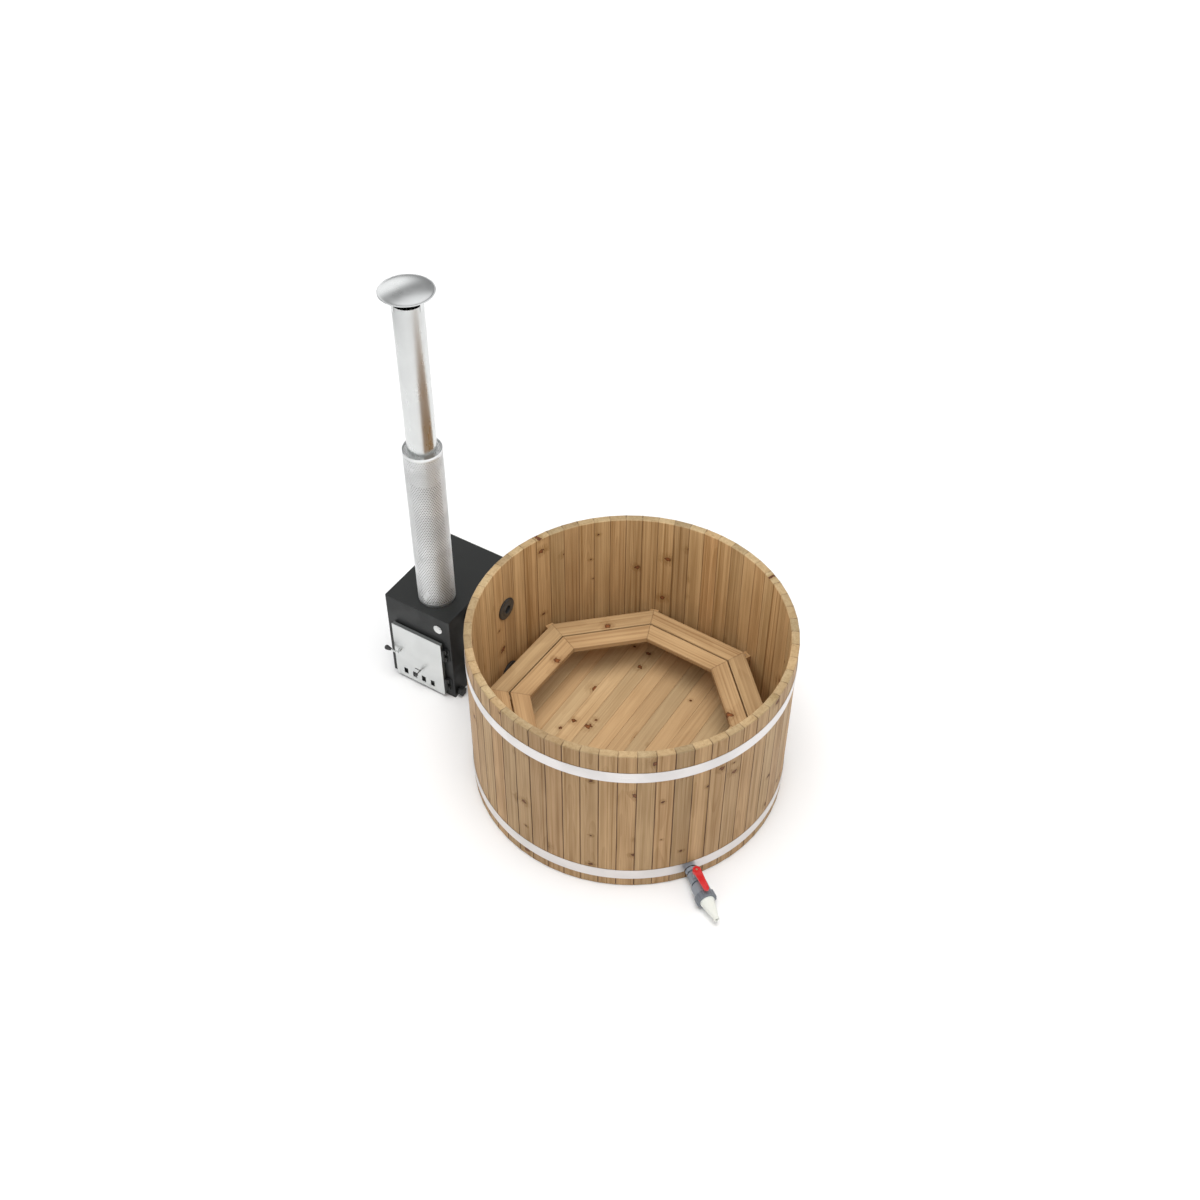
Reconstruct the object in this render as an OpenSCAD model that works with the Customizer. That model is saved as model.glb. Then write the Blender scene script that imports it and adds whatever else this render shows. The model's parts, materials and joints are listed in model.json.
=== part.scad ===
// Round wooden soaking tub heated by a wood stove that stands beside it.
// Z is the tub's axis and points up, and the ground is Z = 0. The stove stands on the -X side of
// the tub and its door faces -Y. The origin is the middle of the middle bearer's underside.
// All sizes are millimetres.

/* [Tub] */
// Outer diameter over the corners of the staves
tub_od = 1640; // [1630:1:1650]
// Height of the staves' top edge above the ground
tub_h = 1000; // [960:10:1100]
// Number of staves
stave_n = 58; // [58:1:58]
// Thickness of a stave
stave_t = 40; // [38:1:42]
// Azimuth of one joint between two staves, in degrees
stave_joint_az = 5; // [4.8:0.1:5.2]
// Gap between the staves' foot and the ground
stave_foot_z = 5; // [3:1:15]

/* [Floor] */
// Height of the bearers, which carry the floor
bearer_h = 90; // [88:1:95]
// Thickness of a bearer
bearer_t = 45; // [38:1:50]
// Distance between bearers
bearer_pitch = 300; // [290:5:305]
// Width of a floor board, with its joint
board_pitch = 90; // [88:1:92]
// Thickness of a floor board
board_t = 42; // [38:1:46]
// X of one joint between floor boards
board_joint_x = 15; // [10:1:20]

/* [Hoops] */
// Height of a steel hoop
hoop_h = 67; // [60:1:80]
// Thickness of a steel hoop
hoop_t = 1.5; // [1:0.25:2]
// Underside of the upper hoop
upper_hoop_z = 819; // [780:1:860]
// Underside of the lower hoop
lower_hoop_z = 61; // [58:1:64]
// Azimuth of the hoops' joint, in degrees
hoop_joint_az = 117; // [100:1:130]

/* [Bench] */
// Height of the bench's top face
bench_z = 378; // [360:2:420]
// Distance from the tub's axis to the bench's inner edges
bench_apothem = 487; // [470:1:500]
// Width of a bench board
bench_board_w = 98; // [90:1:98]
// Gap between the two rings of boards
bench_gap = 8; // [5:1:12]
// Thickness of a bench board
bench_board_t = 28; // [24:1:32]
// Turn of the bench about the tub's axis, in degrees
bench_turn = -2; // [-3:0.5:3]

/* [Water ports] */
// Y of the two ports through the wall and of the stove's stubs
port_y = 31; // [28:1:34]
// Height of the warm water port's axis
warm_port_z = 683; // [660:1:720]
// Height of the cool water port's axis
cool_port_z = 200; // [198:1:210]
// Height of the stove's warm water stub
warm_stub_z = 500; // [480:1:505]
// Height of the stove's cool water stub
cool_stub_z = 78; // [70:1:78]
// Diameter of the ports' flanges
flange_d = 125; // [115:1:125]

/* [Drain] */
// Azimuth of the drain pipe, in degrees
drain_az = -36.8; // [-37.2:0.1:-36.6]
// Height of the drain pipe's axis
drain_z = 60; // [58:1:62]
// Distance from the tub's axis to the floor drain
sump_r = 618; // [616:1:625]
// Distance from the tub's axis to the valve's stem
valve_r = 885; // [880:1:888]
// Bore at the nozzle's tip
nozzle_bore = 16; // [10:1:18]

/* [Stove] */
// Width of the stove
stove_w = 421; // [415:1:430]
// Length of the stove, front to back
stove_l = 579; // [560:1:600]
// Height of the stove
stove_h = 586; // [580:1:600]
// Gap between the tub's wall and the stove
stove_gap = 207; // [200:1:215]
// Y of the stove's front face
stove_front_y = -146; // [-150:1:-140]

/* [Door] */
// X of the door's left edge
door_x0 = -1405; // [-1408:1:-1402]
// X of the door's right edge
door_x1 = -1079; // [-1084:1:-1078]
// Height of the door's bottom edge above the ground
door_z0 = 16; // [14:1:20]
// Height of the door's top edge above the ground
door_z1 = 409; // [400:1:412]
// X of the middle of the four air slots
slots_x = -1250; // [-1252:1:-1246]
// Height of the air slots' middle
slots_z = 66; // [62:1:70]
// Distance between air slots
slot_pitch = 60.5; // [58:0.5:62]

/* [Chimney] */
// Diameter of the flue
flue_d = 150; // [140:1:155]
// Height of the flue's top
flue_top = 2444; // [2000:1:2600]
// Diameter of the heat guard round the flue
guard_d = 200; // [190:1:210]
// Height of the heat guard's top
guard_top = 1600; // [1500:1:1700]
// Diameter of the rain cap
cap_d = 266; // [240:1:280]

/* [Hidden] */
$fn = 64;

through = 1;
round_fn = 180;

// Tub wall
stave_pitch = 360 / stave_n;
stave_half = stave_pitch / 2;
stave_gap = 0.3;
stave_ease = 2;
stave_crown = 4;
stave_xo = tub_od / 2 * cos(stave_half);
stave_xi = stave_xo - stave_t;
wall_ri = stave_xi;
wall_ro = tub_od / 2;
port_az = 180 - asin(port_y / wall_ro);

// Floor
floor_z0 = bearer_h;
floor_top = floor_z0 + board_t;
floor_depth = 11;
floor_r = wall_ri + floor_depth;
board_gap = 0.3;
board_ease = 1.5;
board_n = 2 * ceil(floor_r / board_pitch);
bearer_r = wall_ri - 3;

// Hoop joint: two lugs drawn together by two threaded rods
hoop_ri = tub_od / 2;
hoop_ro = hoop_ri + hoop_t;
hoop_z = [upper_hoop_z, lower_hoop_z];
hoop_end = 12;
lug_t = 6;
lug_reach = 38;
lug_foot = 40;
lug_foot_t = 3.5;
rod_d = 10;
rod_l = 120;
rod_r = hoop_ro + 20;
rod_dz = 22;
nut_af = 17;
nut_h = 8;

// Bench
bench_sides = 8;
bench_half = 180 / bench_sides;
bench_under = bench_z - bench_board_t;
bench_joint = 0.3;
bench_ease = 3;
bench_outer_in = bench_apothem + bench_board_w + bench_gap;
rail_t = 45;
rail_h = 70;
rail_z0 = bench_under - rail_h;
rail_r0 = bench_apothem / cos(bench_half) + 70;
rail_r1 = wall_ri - 1.4;
leg_w = 42;
leg_r = rail_r1 - leg_w / 2;
board_screw_r = [rail_r0 + 14, leg_r - 66];
board_screw_dy = 12;
screw_d = 5;
screw_head_d = 10;
screw_head_h = 4;
board_screw_l = rail_h + 20;
leg_screw_l = 110;

// Water ports, measured along -X from the tub's axis
flange_t = 12;
gasket_t = 4;
port_seat_in = tub_od / 2 - stave_t + 1;
port_seat_out = tub_od / 2 - 4;
port_thread_r = 28;
port_bore_r = 23;
port_nut_af = 76;
port_nut_h = 14;
tail_r = 25;
tail_end = 868;

// Hoses: an S bend in the plane of the ports
hose_t = 6;
hose_bend = 60;
hose_drop_x = 925;
hose_start = 838;
hose_end = 1014;
hose_z = [[warm_port_z, warm_stub_z], [cool_port_z, cool_stub_z]];
clamp_t = 1.2;
clamp_w = 12;
clamp_at = [hose_start + 10, hose_end - 10];
clamp_screw_r = 3;

// Drain, measured outwards from the tub's axis along the drain's azimuth
pipe_r = 20;
pipe_bore_r = 17;
bush_r = 25;
bush_seat = tub_od / 2 - 1;
bush_flange_r = 31;
bush_flange_t = 3.5;
drain_nut_r = 32;
drain_nut_l = 19.5;
sump_lip_r = 45;
sump_body_r = 36;
sump_sleeve_r = 30;
sump_bottom = 30;
outlet_r = 23;
outlet_end = sump_r + 58;
pipe_start = sump_r + 42;
strainer_r = 35.7;

// Ball valve
ball_r = 22;
ball_bore_r = 13.5;
ball_clear = 0.05;
valve_r0 = 34;
valve_in = valve_r - 30;
valve_out = valve_r + 25;
pipe_end = valve_r - 25;
cavity_r = 22.3;
stem_r = 6;
boss_r = 17;
boss_top = 62;
tang = [5, 10, 4];
lever_z0 = 64;
lever_top = 87;
lever_hub_r = 20;
lever_end = 129;
neck_r = 26;
collar_r = 44;
collar_in = valve_r + 40;
collar_out = valve_r + 95;
thread_r = 40;
thread_out = valve_r + 111;
union_r = 52;
union_in = valve_r + 100;
union_out = valve_r + 135;
nozzle_neck_r = 37;
nozzle_cone_in = valve_r + 140;
nozzle_waist = [valve_r + 192, 25];
nozzle_tip = valve_r + 250;
nozzle_tip_r = 15;
nozzle_tip_l = 15;
nozzle_bore_l = 25;

// Stove shell
stove_x1 = -(tub_od / 2 + stove_gap);
stove_x0 = stove_x1 - stove_w;
stove_y1 = stove_front_y + stove_l;
casing_t = 4;
plate_t = 5;
panel_back = stove_front_y + plate_t;
lid_z = stove_h - plate_t;
jacket = 45;
box_x0 = stove_x0 + jacket;
box_x1 = stove_x1 - jacket;
box_y1 = stove_y1 - jacket;
box_z0 = jacket;
box_z1 = stove_h - 61;
ledge = 10;
grate_z = 90;
grate_t = 12;
baffle_z = 430;
baffle_t = 6;
baffle_y1 = box_y1 - 88;
fit = 0.3;

// Door opening in the front panel
mouth_x0 = door_x0 + 30;
mouth_x1 = door_x1 - 30;
mouth_z0 = door_z0 + 34;
mouth_z1 = door_z1 - 30;

// Stubs and plugs on the stove's side
stub_in = -stove_x1 + 23;
stub_out = -stove_x1 - 40;
stub_bore_r = 22;
plug_y = -108;
plug_z = 31;
plug_r = 15;
plug_af = 50;
badge_x = -1105;
badge_z = 500;
badge_r = 27;
badge_t = 3;

// Door hinge on the right side
hinge_x = door_x1 + 10;
hinge_y = stove_front_y - 17;
knuckle_r = 9;
pin_r = 4;
pin_clear = 0.05;
knuckle_h = 28;
hinge_z = [door_z0 + 44, door_z0 + 274];
arm_y = [hinge_y - 5, hinge_y + 5];

// Door, measured in Y from its face to the panel
face_y = stove_front_y - 26;
face_t = 3;
skin_y = face_y + face_t;
box_back_y = stove_front_y - 4;
box_skin = 3;
box_in = 2;
liner_y = stove_front_y + 2;
liner_z0 = mouth_z0 + 46;
seal_w = 8;
seal_gap = 0.2;
seal_x0 = mouth_x0 - 16;
seal_x1 = mouth_x1 + 16;
seal_z0 = mouth_z0 - 16;
seal_z1 = mouth_z1 + 16;
slot_w = 27;
slot_h = 42;
slot_n = 4;

// Air damper
damper_y = skin_y + 0.4;
damper_t = 2;
damper_travel = 30;
damper_z = [slots_z - 26, slots_z + 68];
damper_rod = [slots_x + 10, slots_z + 56];
damper_rod_r = 4;
damper_rod_l = 43;
guide_h = 6;
guide_lip = 3;
knob_r = 10;

// Latch
latch_x = door_x0 + 36;
latch_z = 217;
spindle_r = 5;
latch_arm_l = 46;
latch_knob_r = 14;
latch_knob_l = 44;
hook_l = 27;
hook_y = panel_back + 2;
hook_t = 5;

// Chimney
flue_x = -1209;
flue_t = 1.5;
flue_r = flue_d / 2;
spigot_r = flue_r - flue_t;
flue_joint_z = 1400;
spigot_l = 40;
guard_r = guard_d / 2;
spacer_z = [stove_h + 60, guard_top - 70];
spacer_h = 24;
spacer_w = 20;
spacer_t = 2;
cap_gap = 56;
cap_rise = 40;
cap_t = 1.5;
strap_n = 3;
strap_az = 3.5;
strap_w = 20;
strap_t = 2;
strap_l = 30;

function angle_between(a, b) = abs(((a - b) % 360 + 540) % 360 - 180);

function stave_az(k) = stave_joint_az + (k + 0.5) * stave_pitch;

function is_bored(k) = min(
  angle_between(stave_az(k), port_az),
  angle_between(stave_az(k), drain_az)
) < 0.8 * stave_pitch;

// Half width of a stave at distance x from the tub's axis
function stave_side(x) = x * tan(stave_half) - stave_gap / 2 / cos(stave_half);

// Half length that a bearer may have when its outer face is at distance y from the axis
function bearer_half(y) = sqrt(pow(bearer_r, 2) - pow(y, 2)) - 2;

// Section of a board lying flat, with eased long edges on its top face
function board_outline(x0, x1, t, ease) = [
  [x0, 0], [x1, 0], [x1, t - ease], [x1 - ease, t], [x0 + ease, t], [x0, t - ease]
];

// Places its children at an azimuth and a distance from the tub's axis
module polar(az, r = 0, z = 0) {
  rotate([0, 0, az])
    translate([r, 0, z])
      children();
}

// A round bar or ring along X, from x0 to x1
module round_x(x0, x1, r, bore = 0) {
  translate([x0, 0, 0])
    rotate([0, 90, 0])
      ring(r, bore, x1 - x0);
}

// A ring standing on z = 0
module ring(r, bore, h) {
  difference() {
    cylinder(r = r, h = h);
    if (bore > 0) translate([0, 0, -through]) cylinder(r = bore, h = h + 2 * through);
  }
}

// A box between two corners
module block(low, high) {
  translate(low)
    cube(high - low);
}

// A hexagonal nut standing on z = 0
module hex_nut(af, h, bore) {
  difference() {
    cylinder(r = af / 2 / cos(30), h = h, $fn = 6);
    translate([0, 0, -through]) cylinder(r = bore, h = h + 2 * through);
  }
}

// Turns Z towards -X, at the ports' Y and a height: local z is the distance from the tub's axis
module port_frame(z) {
  translate([0, port_y, z])
    rotate([0, -90, 0])
      children();
}

// The drain's frame: X runs outwards along the pipe's axis
module drain_frame() {
  rotate([0, 0, drain_az])
    translate([0, 0, drain_z])
      children();
}

// ---- Tub ----

module stave() {
  plan = [
    [stave_xi + stave_ease, -stave_side(stave_xi + stave_ease)],
    [stave_xo - stave_ease, -stave_side(stave_xo - stave_ease)],
    [stave_xo, stave_ease - stave_side(stave_xo)],
    [stave_xo, stave_side(stave_xo) - stave_ease],
    [stave_xo - stave_ease, stave_side(stave_xo - stave_ease)],
    [stave_xi + stave_ease, stave_side(stave_xi + stave_ease)],
    [stave_xi, stave_side(stave_xi) - stave_ease],
    [stave_xi, stave_ease - stave_side(stave_xi)]
  ];
  groove_x = floor_r + fit;
  section = [
    [stave_xi, stave_foot_z], [stave_xo, stave_foot_z],
    [stave_xo, tub_h - stave_crown], [stave_xo - stave_crown, tub_h],
    [stave_xi + stave_crown, tub_h], [stave_xi, tub_h - stave_crown],
    [stave_xi, floor_top], [groove_x, floor_top],
    [groove_x, floor_z0], [stave_xi, floor_z0]
  ];
  intersection() {
    linear_extrude(height = tub_h + through) polygon(plan);
    translate([0, stave_xo, 0])
      rotate([90, 0, 0])
        linear_extrude(height = 2 * stave_xo)
          polygon(section);
  }
}

module port_cut(z) {
  port_frame(z) {
    cylinder(r = port_thread_r, h = tub_od);
    translate([0, 0, port_seat_in - stave_t]) cylinder(r = flange_d / 2 + 2, h = stave_t);
    translate([0, 0, port_seat_out]) cylinder(r = port_nut_af / 2 / cos(30) + 2, h = stave_t);
  }
}

module wall_staves() {
  color([0.70, 0.57, 0.42])
    for (k = [0:stave_n - 1]) if (!is_bored(k)) polar(stave_az(k)) stave();
}

module bored_staves() {
  color([0.68, 0.55, 0.40])
    difference() {
      for (k = [0:stave_n - 1]) if (is_bored(k)) polar(stave_az(k)) stave();
      port_cut(warm_port_z);
      port_cut(cool_port_z);
      drain_frame() {
        round_x(wall_ri - stave_t, tub_od, bush_r);
        round_x(bush_seat, tub_od, bush_flange_r + 2);
      }
    }
}

module floor_boards() {
  color([0.78, 0.66, 0.48])
    difference() {
      for (i = [0:board_n - 1]) {
        x0 = board_joint_x + (i - board_n / 2) * board_pitch;
        intersection() {
          translate([0, tub_od / 2, floor_z0])
            rotate([90, 0, 0])
              linear_extrude(height = tub_od)
                polygon(board_outline(x0 + board_gap / 2, x0 + board_pitch - board_gap / 2, board_t, board_ease));
          translate([0, 0, floor_z0 - through]) cylinder(r = floor_r, h = board_t + 2 * through, $fn = round_fn);
        }
      }
      polar(drain_az, sump_r, floor_z0 - through)
        cylinder(r = sump_sleeve_r + 1, h = board_t + 2 * through);
    }
}

module floor_bearers() {
  color([0.66, 0.52, 0.36])
    for (i = [-2:2]) {
      half = bearer_half(abs(i) * bearer_pitch + bearer_t / 2);
      block([-half, i * bearer_pitch - bearer_t / 2, 0], [half, i * bearer_pitch + bearer_t / 2, bearer_h]);
    }
}

// A flat band, open at its joint
module hoop(z) {
  difference() {
    translate([0, 0, z]) ring(hoop_ro, hoop_ri, hoop_h, $fn = round_fn);
    polar(hoop_joint_az)
      block([0, -hoop_end, z - through], [tub_od, hoop_end, z + hoop_h + through]);
  }
}

module upper_hoop() {
  color([0.86, 0.87, 0.88]) hoop(upper_hoop_z);
}

// Notched from below where the drain passes
module lower_hoop() {
  color([0.86, 0.87, 0.88])
    difference() {
      hoop(lower_hoop_z);
      drain_frame() round_x(hoop_ri - 5, hoop_ro + 5, bush_flange_r + 5);
    }
}

// One lug: a foot on the band and an ear that the rods pass through, on the side given by s
module hoop_lug(z, s) {
  foot0 = hoop_end;
  foot1 = hoop_end + lug_foot;
  mirror([0, s > 0 ? 0 : 1, 0])
    difference() {
      union() {
        intersection() {
          translate([0, 0, z]) ring(hoop_ro + lug_foot_t, hoop_ro, hoop_h, $fn = round_fn);
          block([hoop_ri - 20, foot0, z], [hoop_ro + 20, foot1, z + hoop_h]);
        }
        block([hoop_ro + lug_foot_t / 2, foot0, z], [hoop_ro + lug_reach, foot0 + lug_t, z + hoop_h]);
      }
      for (dz = [-rod_dz, rod_dz])
        translate([rod_r, 0, z + hoop_h / 2 + dz])
          rotate([-90, 0, 0])
            cylinder(r = rod_d / 2 + 0.5, h = foot0 + lug_t + through);
    }
}

module hoop_lugs() {
  color([0.80, 0.81, 0.83])
    for (z = hoop_z, s = [-1, 1]) polar(hoop_joint_az) hoop_lug(z, s);
}

// Places its children on the axis of each rod, with Z along the rod
module at_rods() {
  for (z = hoop_z, dz = [-rod_dz, rod_dz])
    polar(hoop_joint_az, rod_r, z + hoop_h / 2 + dz)
      rotate([-90, 0, 0])
        children();
}

module hoop_rods() {
  color([0.75, 0.76, 0.78])
    at_rods() translate([0, 0, -rod_l / 2]) cylinder(r = rod_d / 2, h = rod_l);
}

module hoop_nuts() {
  color([0.72, 0.73, 0.75])
    at_rods() {
      translate([0, 0, hoop_end + lug_t]) hex_nut(nut_af, nut_h, rod_d / 2);
      translate([0, 0, -hoop_end - lug_t - nut_h]) hex_nut(nut_af, nut_h, rod_d / 2);
    }
}

// ---- Bench ----

// Places its children at each mitre of the bench
module at_mitres() {
  for (i = [0:bench_sides - 1]) polar(bench_turn + (i + 0.5) * 2 * bench_half) children();
}

// A mitred board whose inner edge is at distance a from the tub's axis
module bench_board(a) {
  b = a + bench_board_w;
  cut = bench_joint / 2 / cos(bench_half);
  intersection() {
    translate([0, b, bench_under])
      rotate([90, 0, 0])
        linear_extrude(height = 2 * b)
          polygon(board_outline(a, b, bench_board_t, bench_ease));
    translate([0, 0, bench_under - through])
      linear_extrude(height = bench_board_t + 2 * through)
        polygon([
          [a - 1, cut - (a - 1) * tan(bench_half)], [b + 1, cut - (b + 1) * tan(bench_half)],
          [b + 1, (b + 1) * tan(bench_half) - cut], [a - 1, (a - 1) * tan(bench_half) - cut]
        ]);
  }
}

// The screws that hold the boards, from below, at distance r from the tub's axis
module board_screws(r, d, head_d) {
  for (dy = [-board_screw_dy, board_screw_dy])
    translate([r, dy, rail_z0]) {
      cylinder(r = d / 2, h = board_screw_l);
      cylinder(r = head_d / 2, h = screw_head_h);
    }
}

// The screw that holds a leg, from the rail's top
module leg_screw(d, head_d) {
  translate([leg_r, 0, bench_under - leg_screw_l]) {
    cylinder(r = d / 2, h = leg_screw_l);
    translate([0, 0, leg_screw_l - screw_head_h]) cylinder(r = head_d / 2, h = screw_head_h);
  }
}

module bench_ring(a, screw_r) {
  difference() {
    for (i = [0:bench_sides - 1]) polar(bench_turn + i * 2 * bench_half) bench_board(a);
    at_mitres() board_screws(screw_r, screw_d, screw_d);
  }
}

module bench_inner_boards() {
  color([0.80, 0.68, 0.50]) bench_ring(bench_apothem, board_screw_r[0]);
}

module bench_outer_boards() {
  color([0.80, 0.68, 0.50]) bench_ring(bench_outer_in, board_screw_r[1]);
}

module bench_rails() {
  color([0.72, 0.60, 0.43])
    at_mitres()
      difference() {
        block([rail_r0, -rail_t / 2, rail_z0], [rail_r1, rail_t / 2, bench_under]);
        for (r = board_screw_r) board_screws(r, screw_d, screw_head_d);
        leg_screw(screw_d, screw_head_d);
      }
}

// Short posts against the wall, one under each rail's outer end
module bench_legs() {
  color([0.72, 0.60, 0.43])
    at_mitres()
      difference() {
        block([leg_r - leg_w / 2, -rail_t / 2, floor_top], [leg_r + leg_w / 2, rail_t / 2, rail_z0]);
        leg_screw(screw_d, screw_head_d);
      }
}

module bench_screws() {
  color([0.75, 0.76, 0.78])
    at_mitres() {
      for (r = board_screw_r) board_screws(r, screw_d, screw_head_d);
      leg_screw(screw_d, screw_head_d);
    }
}

// ---- Water ports and hoses ----

module wall_flange() {
  face = port_seat_in - gasket_t - flange_t;
  seat = port_seat_in - gasket_t;
  nut_end = port_seat_out + port_nut_h;
  rotate_extrude()
    polygon([
      [port_bore_r + 4, face], [flange_d / 2 - 5, face], [flange_d / 2, face + 5],
      [flange_d / 2, seat], [port_thread_r, seat], [port_thread_r, nut_end],
      [tail_r, nut_end], [tail_r, tail_end], [port_bore_r, tail_end],
      [port_bore_r, face + 4]
    ]);
}

module wall_flanges() {
  color([0.08, 0.08, 0.08])
    for (z = [warm_port_z, cool_port_z]) port_frame(z) wall_flange();
}

module wall_gaskets() {
  color([0.12, 0.12, 0.12])
    for (z = [warm_port_z, cool_port_z])
      port_frame(z)
        translate([0, 0, port_seat_in - gasket_t])
          ring(flange_d / 2 - 4, port_thread_r, gasket_t);
}

module wall_nuts() {
  color([0.10, 0.10, 0.10])
    for (z = [warm_port_z, cool_port_z])
      port_frame(z)
        translate([0, 0, port_seat_out])
          hex_nut(port_nut_af, port_nut_h, port_thread_r);
}

// A quarter bend in the XZ plane that starts at azimuth a about its centre
module hose_elbow(a) {
  rotate([90, 0, 0])
    rotate([0, 0, a])
      rotate_extrude(angle = 90)
        translate([hose_bend, 0])
          difference() {
            circle(r = tail_r + hose_t);
            circle(r = tail_r);
          }
}

// One hose, from the port at height z0 down to the stove's stub at height z1
module hose(z0, z1) {
  r = tail_r + hose_t;
  turn0 = hose_drop_x - hose_bend;
  turn1 = hose_drop_x + hose_bend;
  translate([0, port_y, 0]) {
    translate([0, 0, z0]) round_x(-turn0, -hose_start, r, tail_r);
    translate([-turn0, 0, z0 - hose_bend]) hose_elbow(90);
    translate([-hose_drop_x, 0, z1 + hose_bend]) ring(r, tail_r, z0 - z1 - 2 * hose_bend);
    translate([-turn1, 0, z1 + hose_bend]) hose_elbow(270);
    translate([0, 0, z1]) round_x(-hose_end, -turn1, r, tail_r);
  }
}

module hoses() {
  color([0.10, 0.10, 0.11])
    for (z = hose_z) hose(z[0], z[1]);
}

// Places its children at each of the four hose clamps, with Z along the hose
module at_clamps() {
  for (z = hose_z, i = [0, 1]) port_frame(z[i]) translate([0, 0, clamp_at[i]]) children();
}

// Bands with a worm screw each, which turns in the band's housing
module hose_clamps() {
  r = tail_r + hose_t;
  color([0.78, 0.79, 0.80])
    at_clamps() {
      difference() {
        union() {
          translate([0, 0, -clamp_w / 2]) cylinder(r = r + clamp_t, h = clamp_w);
          block([-r - 11, -8, -clamp_w / 2], [-r, 8, clamp_w / 2]);
        }
        translate([0, 0, -clamp_w]) cylinder(r = r, h = 2 * clamp_w);
        translate([-r - 6, 10, 0]) rotate([90, 0, 0]) cylinder(r = clamp_screw_r + 0.2, h = 20);
      }
      translate([-r - 6, 10, 0])
        rotate([90, 0, 0]) {
          cylinder(r = clamp_screw_r, h = 20);
          translate([0, 0, -5]) cylinder(r = 5, h = 5, $fn = 6);
        }
    }
}

// ---- Drain ----

module at_sump() {
  polar(drain_az, sump_r) children();
}

module drain_strainer() {
  color([0.78, 0.79, 0.80])
    at_sump()
      difference() {
        translate([0, 0, floor_top + 1]) cylinder(r = strainer_r, h = 3);
        for (n = [1, 2], i = [0:6 * n - 1])
          rotate([0, 0, i * 60 / n])
            translate([12 * n, 0, floor_top])
              cylinder(r = 3, h = 5);
      }
}

module drain_flange() {
  color([0.75, 0.76, 0.78])
    at_sump()
      rotate_extrude()
        polygon([
          [26, 75], [sump_sleeve_r, 75], [sump_sleeve_r, floor_top], [sump_lip_r, floor_top],
          [sump_lip_r, floor_top + 2], [sump_lip_r - 2, floor_top + 4],
          [strainer_r + fit, floor_top + 4], [strainer_r + fit, floor_top + 1], [26, floor_top + 1]
        ]);
}

module drain_sump() {
  color([0.45, 0.47, 0.50])
    difference() {
      union() {
        at_sump()
          rotate_extrude()
            polygon([
              [0, sump_bottom], [sump_body_r, sump_bottom], [sump_body_r, floor_z0 - 5],
              [sump_lip_r, floor_z0 - 5], [sump_lip_r, floor_z0], [0, floor_z0]
            ]);
        drain_frame() round_x(sump_r + sump_body_r - 8, outlet_end, outlet_r);
      }
      at_sump() {
        translate([0, 0, 70]) cylinder(r = sump_sleeve_r, h = 30);
        translate([0, 0, sump_bottom + 4]) cylinder(r = 28, h = 50);
      }
      drain_frame() {
        round_x(sump_r, outlet_end + through, pipe_bore_r);
        round_x(pipe_start, outlet_end + through, pipe_r);
      }
    }
}

module drain_pipe() {
  color([0.45, 0.47, 0.50])
    drain_frame() round_x(pipe_start, pipe_end, pipe_r, pipe_bore_r);
}

module drain_bush() {
  color([0.13, 0.13, 0.13])
    drain_frame() {
      round_x(wall_ri - 3, bush_seat + through, bush_r, pipe_r);
      round_x(bush_seat, bush_seat + bush_flange_t, bush_flange_r, pipe_r);
    }
}

module drain_nut() {
  color([0.49, 0.51, 0.54])
    drain_frame()
      translate([bush_seat + bush_flange_t, 0, 0])
        rotate([0, 90, 0])
          difference() {
            cylinder(r = drain_nut_r, h = drain_nut_l, $fn = 8);
            translate([0, 0, -through]) cylinder(r = pipe_r, h = drain_nut_l + 2 * through);
          }
}

module valve_body() {
  color([0.49, 0.51, 0.54])
    drain_frame()
      difference() {
        union() {
          round_x(valve_in, valve_out, valve_r0);
          translate([valve_r, 0, 0]) cylinder(r = boss_r, h = boss_top);
        }
        round_x(valve_in - through, pipe_end, pipe_r);
        round_x(valve_in, valve_out, ball_bore_r);
        round_x(pipe_end + 4, valve_out + through, cavity_r);
        translate([valve_r, 0, 0]) cylinder(r = stem_r + ball_clear, h = boss_top + through);
      }
}

module valve_seats() {
  color([0.92, 0.92, 0.90])
    drain_frame()
      difference() {
        union() {
          round_x(valve_r - 21, valve_r - 9, cavity_r, ball_bore_r);
          round_x(valve_r + 9, valve_r + 21, cavity_r, ball_bore_r);
        }
        translate([valve_r, 0, 0]) sphere(r = ball_r + ball_clear);
      }
}

module valve_tailpiece() {
  color([0.52, 0.54, 0.57])
    drain_frame()
      difference() {
        union() {
          round_x(valve_r + 21, valve_out + through, cavity_r);
          round_x(valve_out, collar_in + through, neck_r);
          round_x(collar_in, collar_out, collar_r);
          round_x(collar_out - through, thread_out, thread_r);
        }
        round_x(valve_r + 20, thread_out + through, ball_bore_r);
        round_x(collar_in + 10, thread_out + through, pipe_bore_r);
      }
}

module valve_union_nut() {
  color([0.22, 0.23, 0.24])
    drain_frame()
      difference() {
        round_x(union_in, union_out, union_r);
        round_x(union_in - through, union_out - 6, thread_r);
        round_x(union_in, union_out + through, nozzle_neck_r + fit);
        for (i = [0:15])
          rotate([i * 22.5, 0, 0])
            translate([0, 0, union_r + 2])
              round_x(union_in - through, union_out + through, 5);
      }
}

// Tapered nozzle: [distance outwards, radius] turned about the pipe's axis
module hose_nozzle() {
  color([0.88, 0.86, 0.80])
    drain_frame()
      rotate([0, 90, 0])
        rotate_extrude()
          polygon([
            [pipe_bore_r, thread_out], [thread_r - fit, thread_out], [thread_r - fit, union_out - 6],
            [nozzle_neck_r, union_out - 6], [nozzle_neck_r, nozzle_cone_in],
            [nozzle_waist[1], nozzle_waist[0]], [nozzle_tip_r, nozzle_tip - nozzle_tip_l],
            [nozzle_tip_r, nozzle_tip], [nozzle_bore / 2, nozzle_tip],
            [nozzle_bore / 2, nozzle_tip - nozzle_bore_l]
          ]);
}

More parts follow.
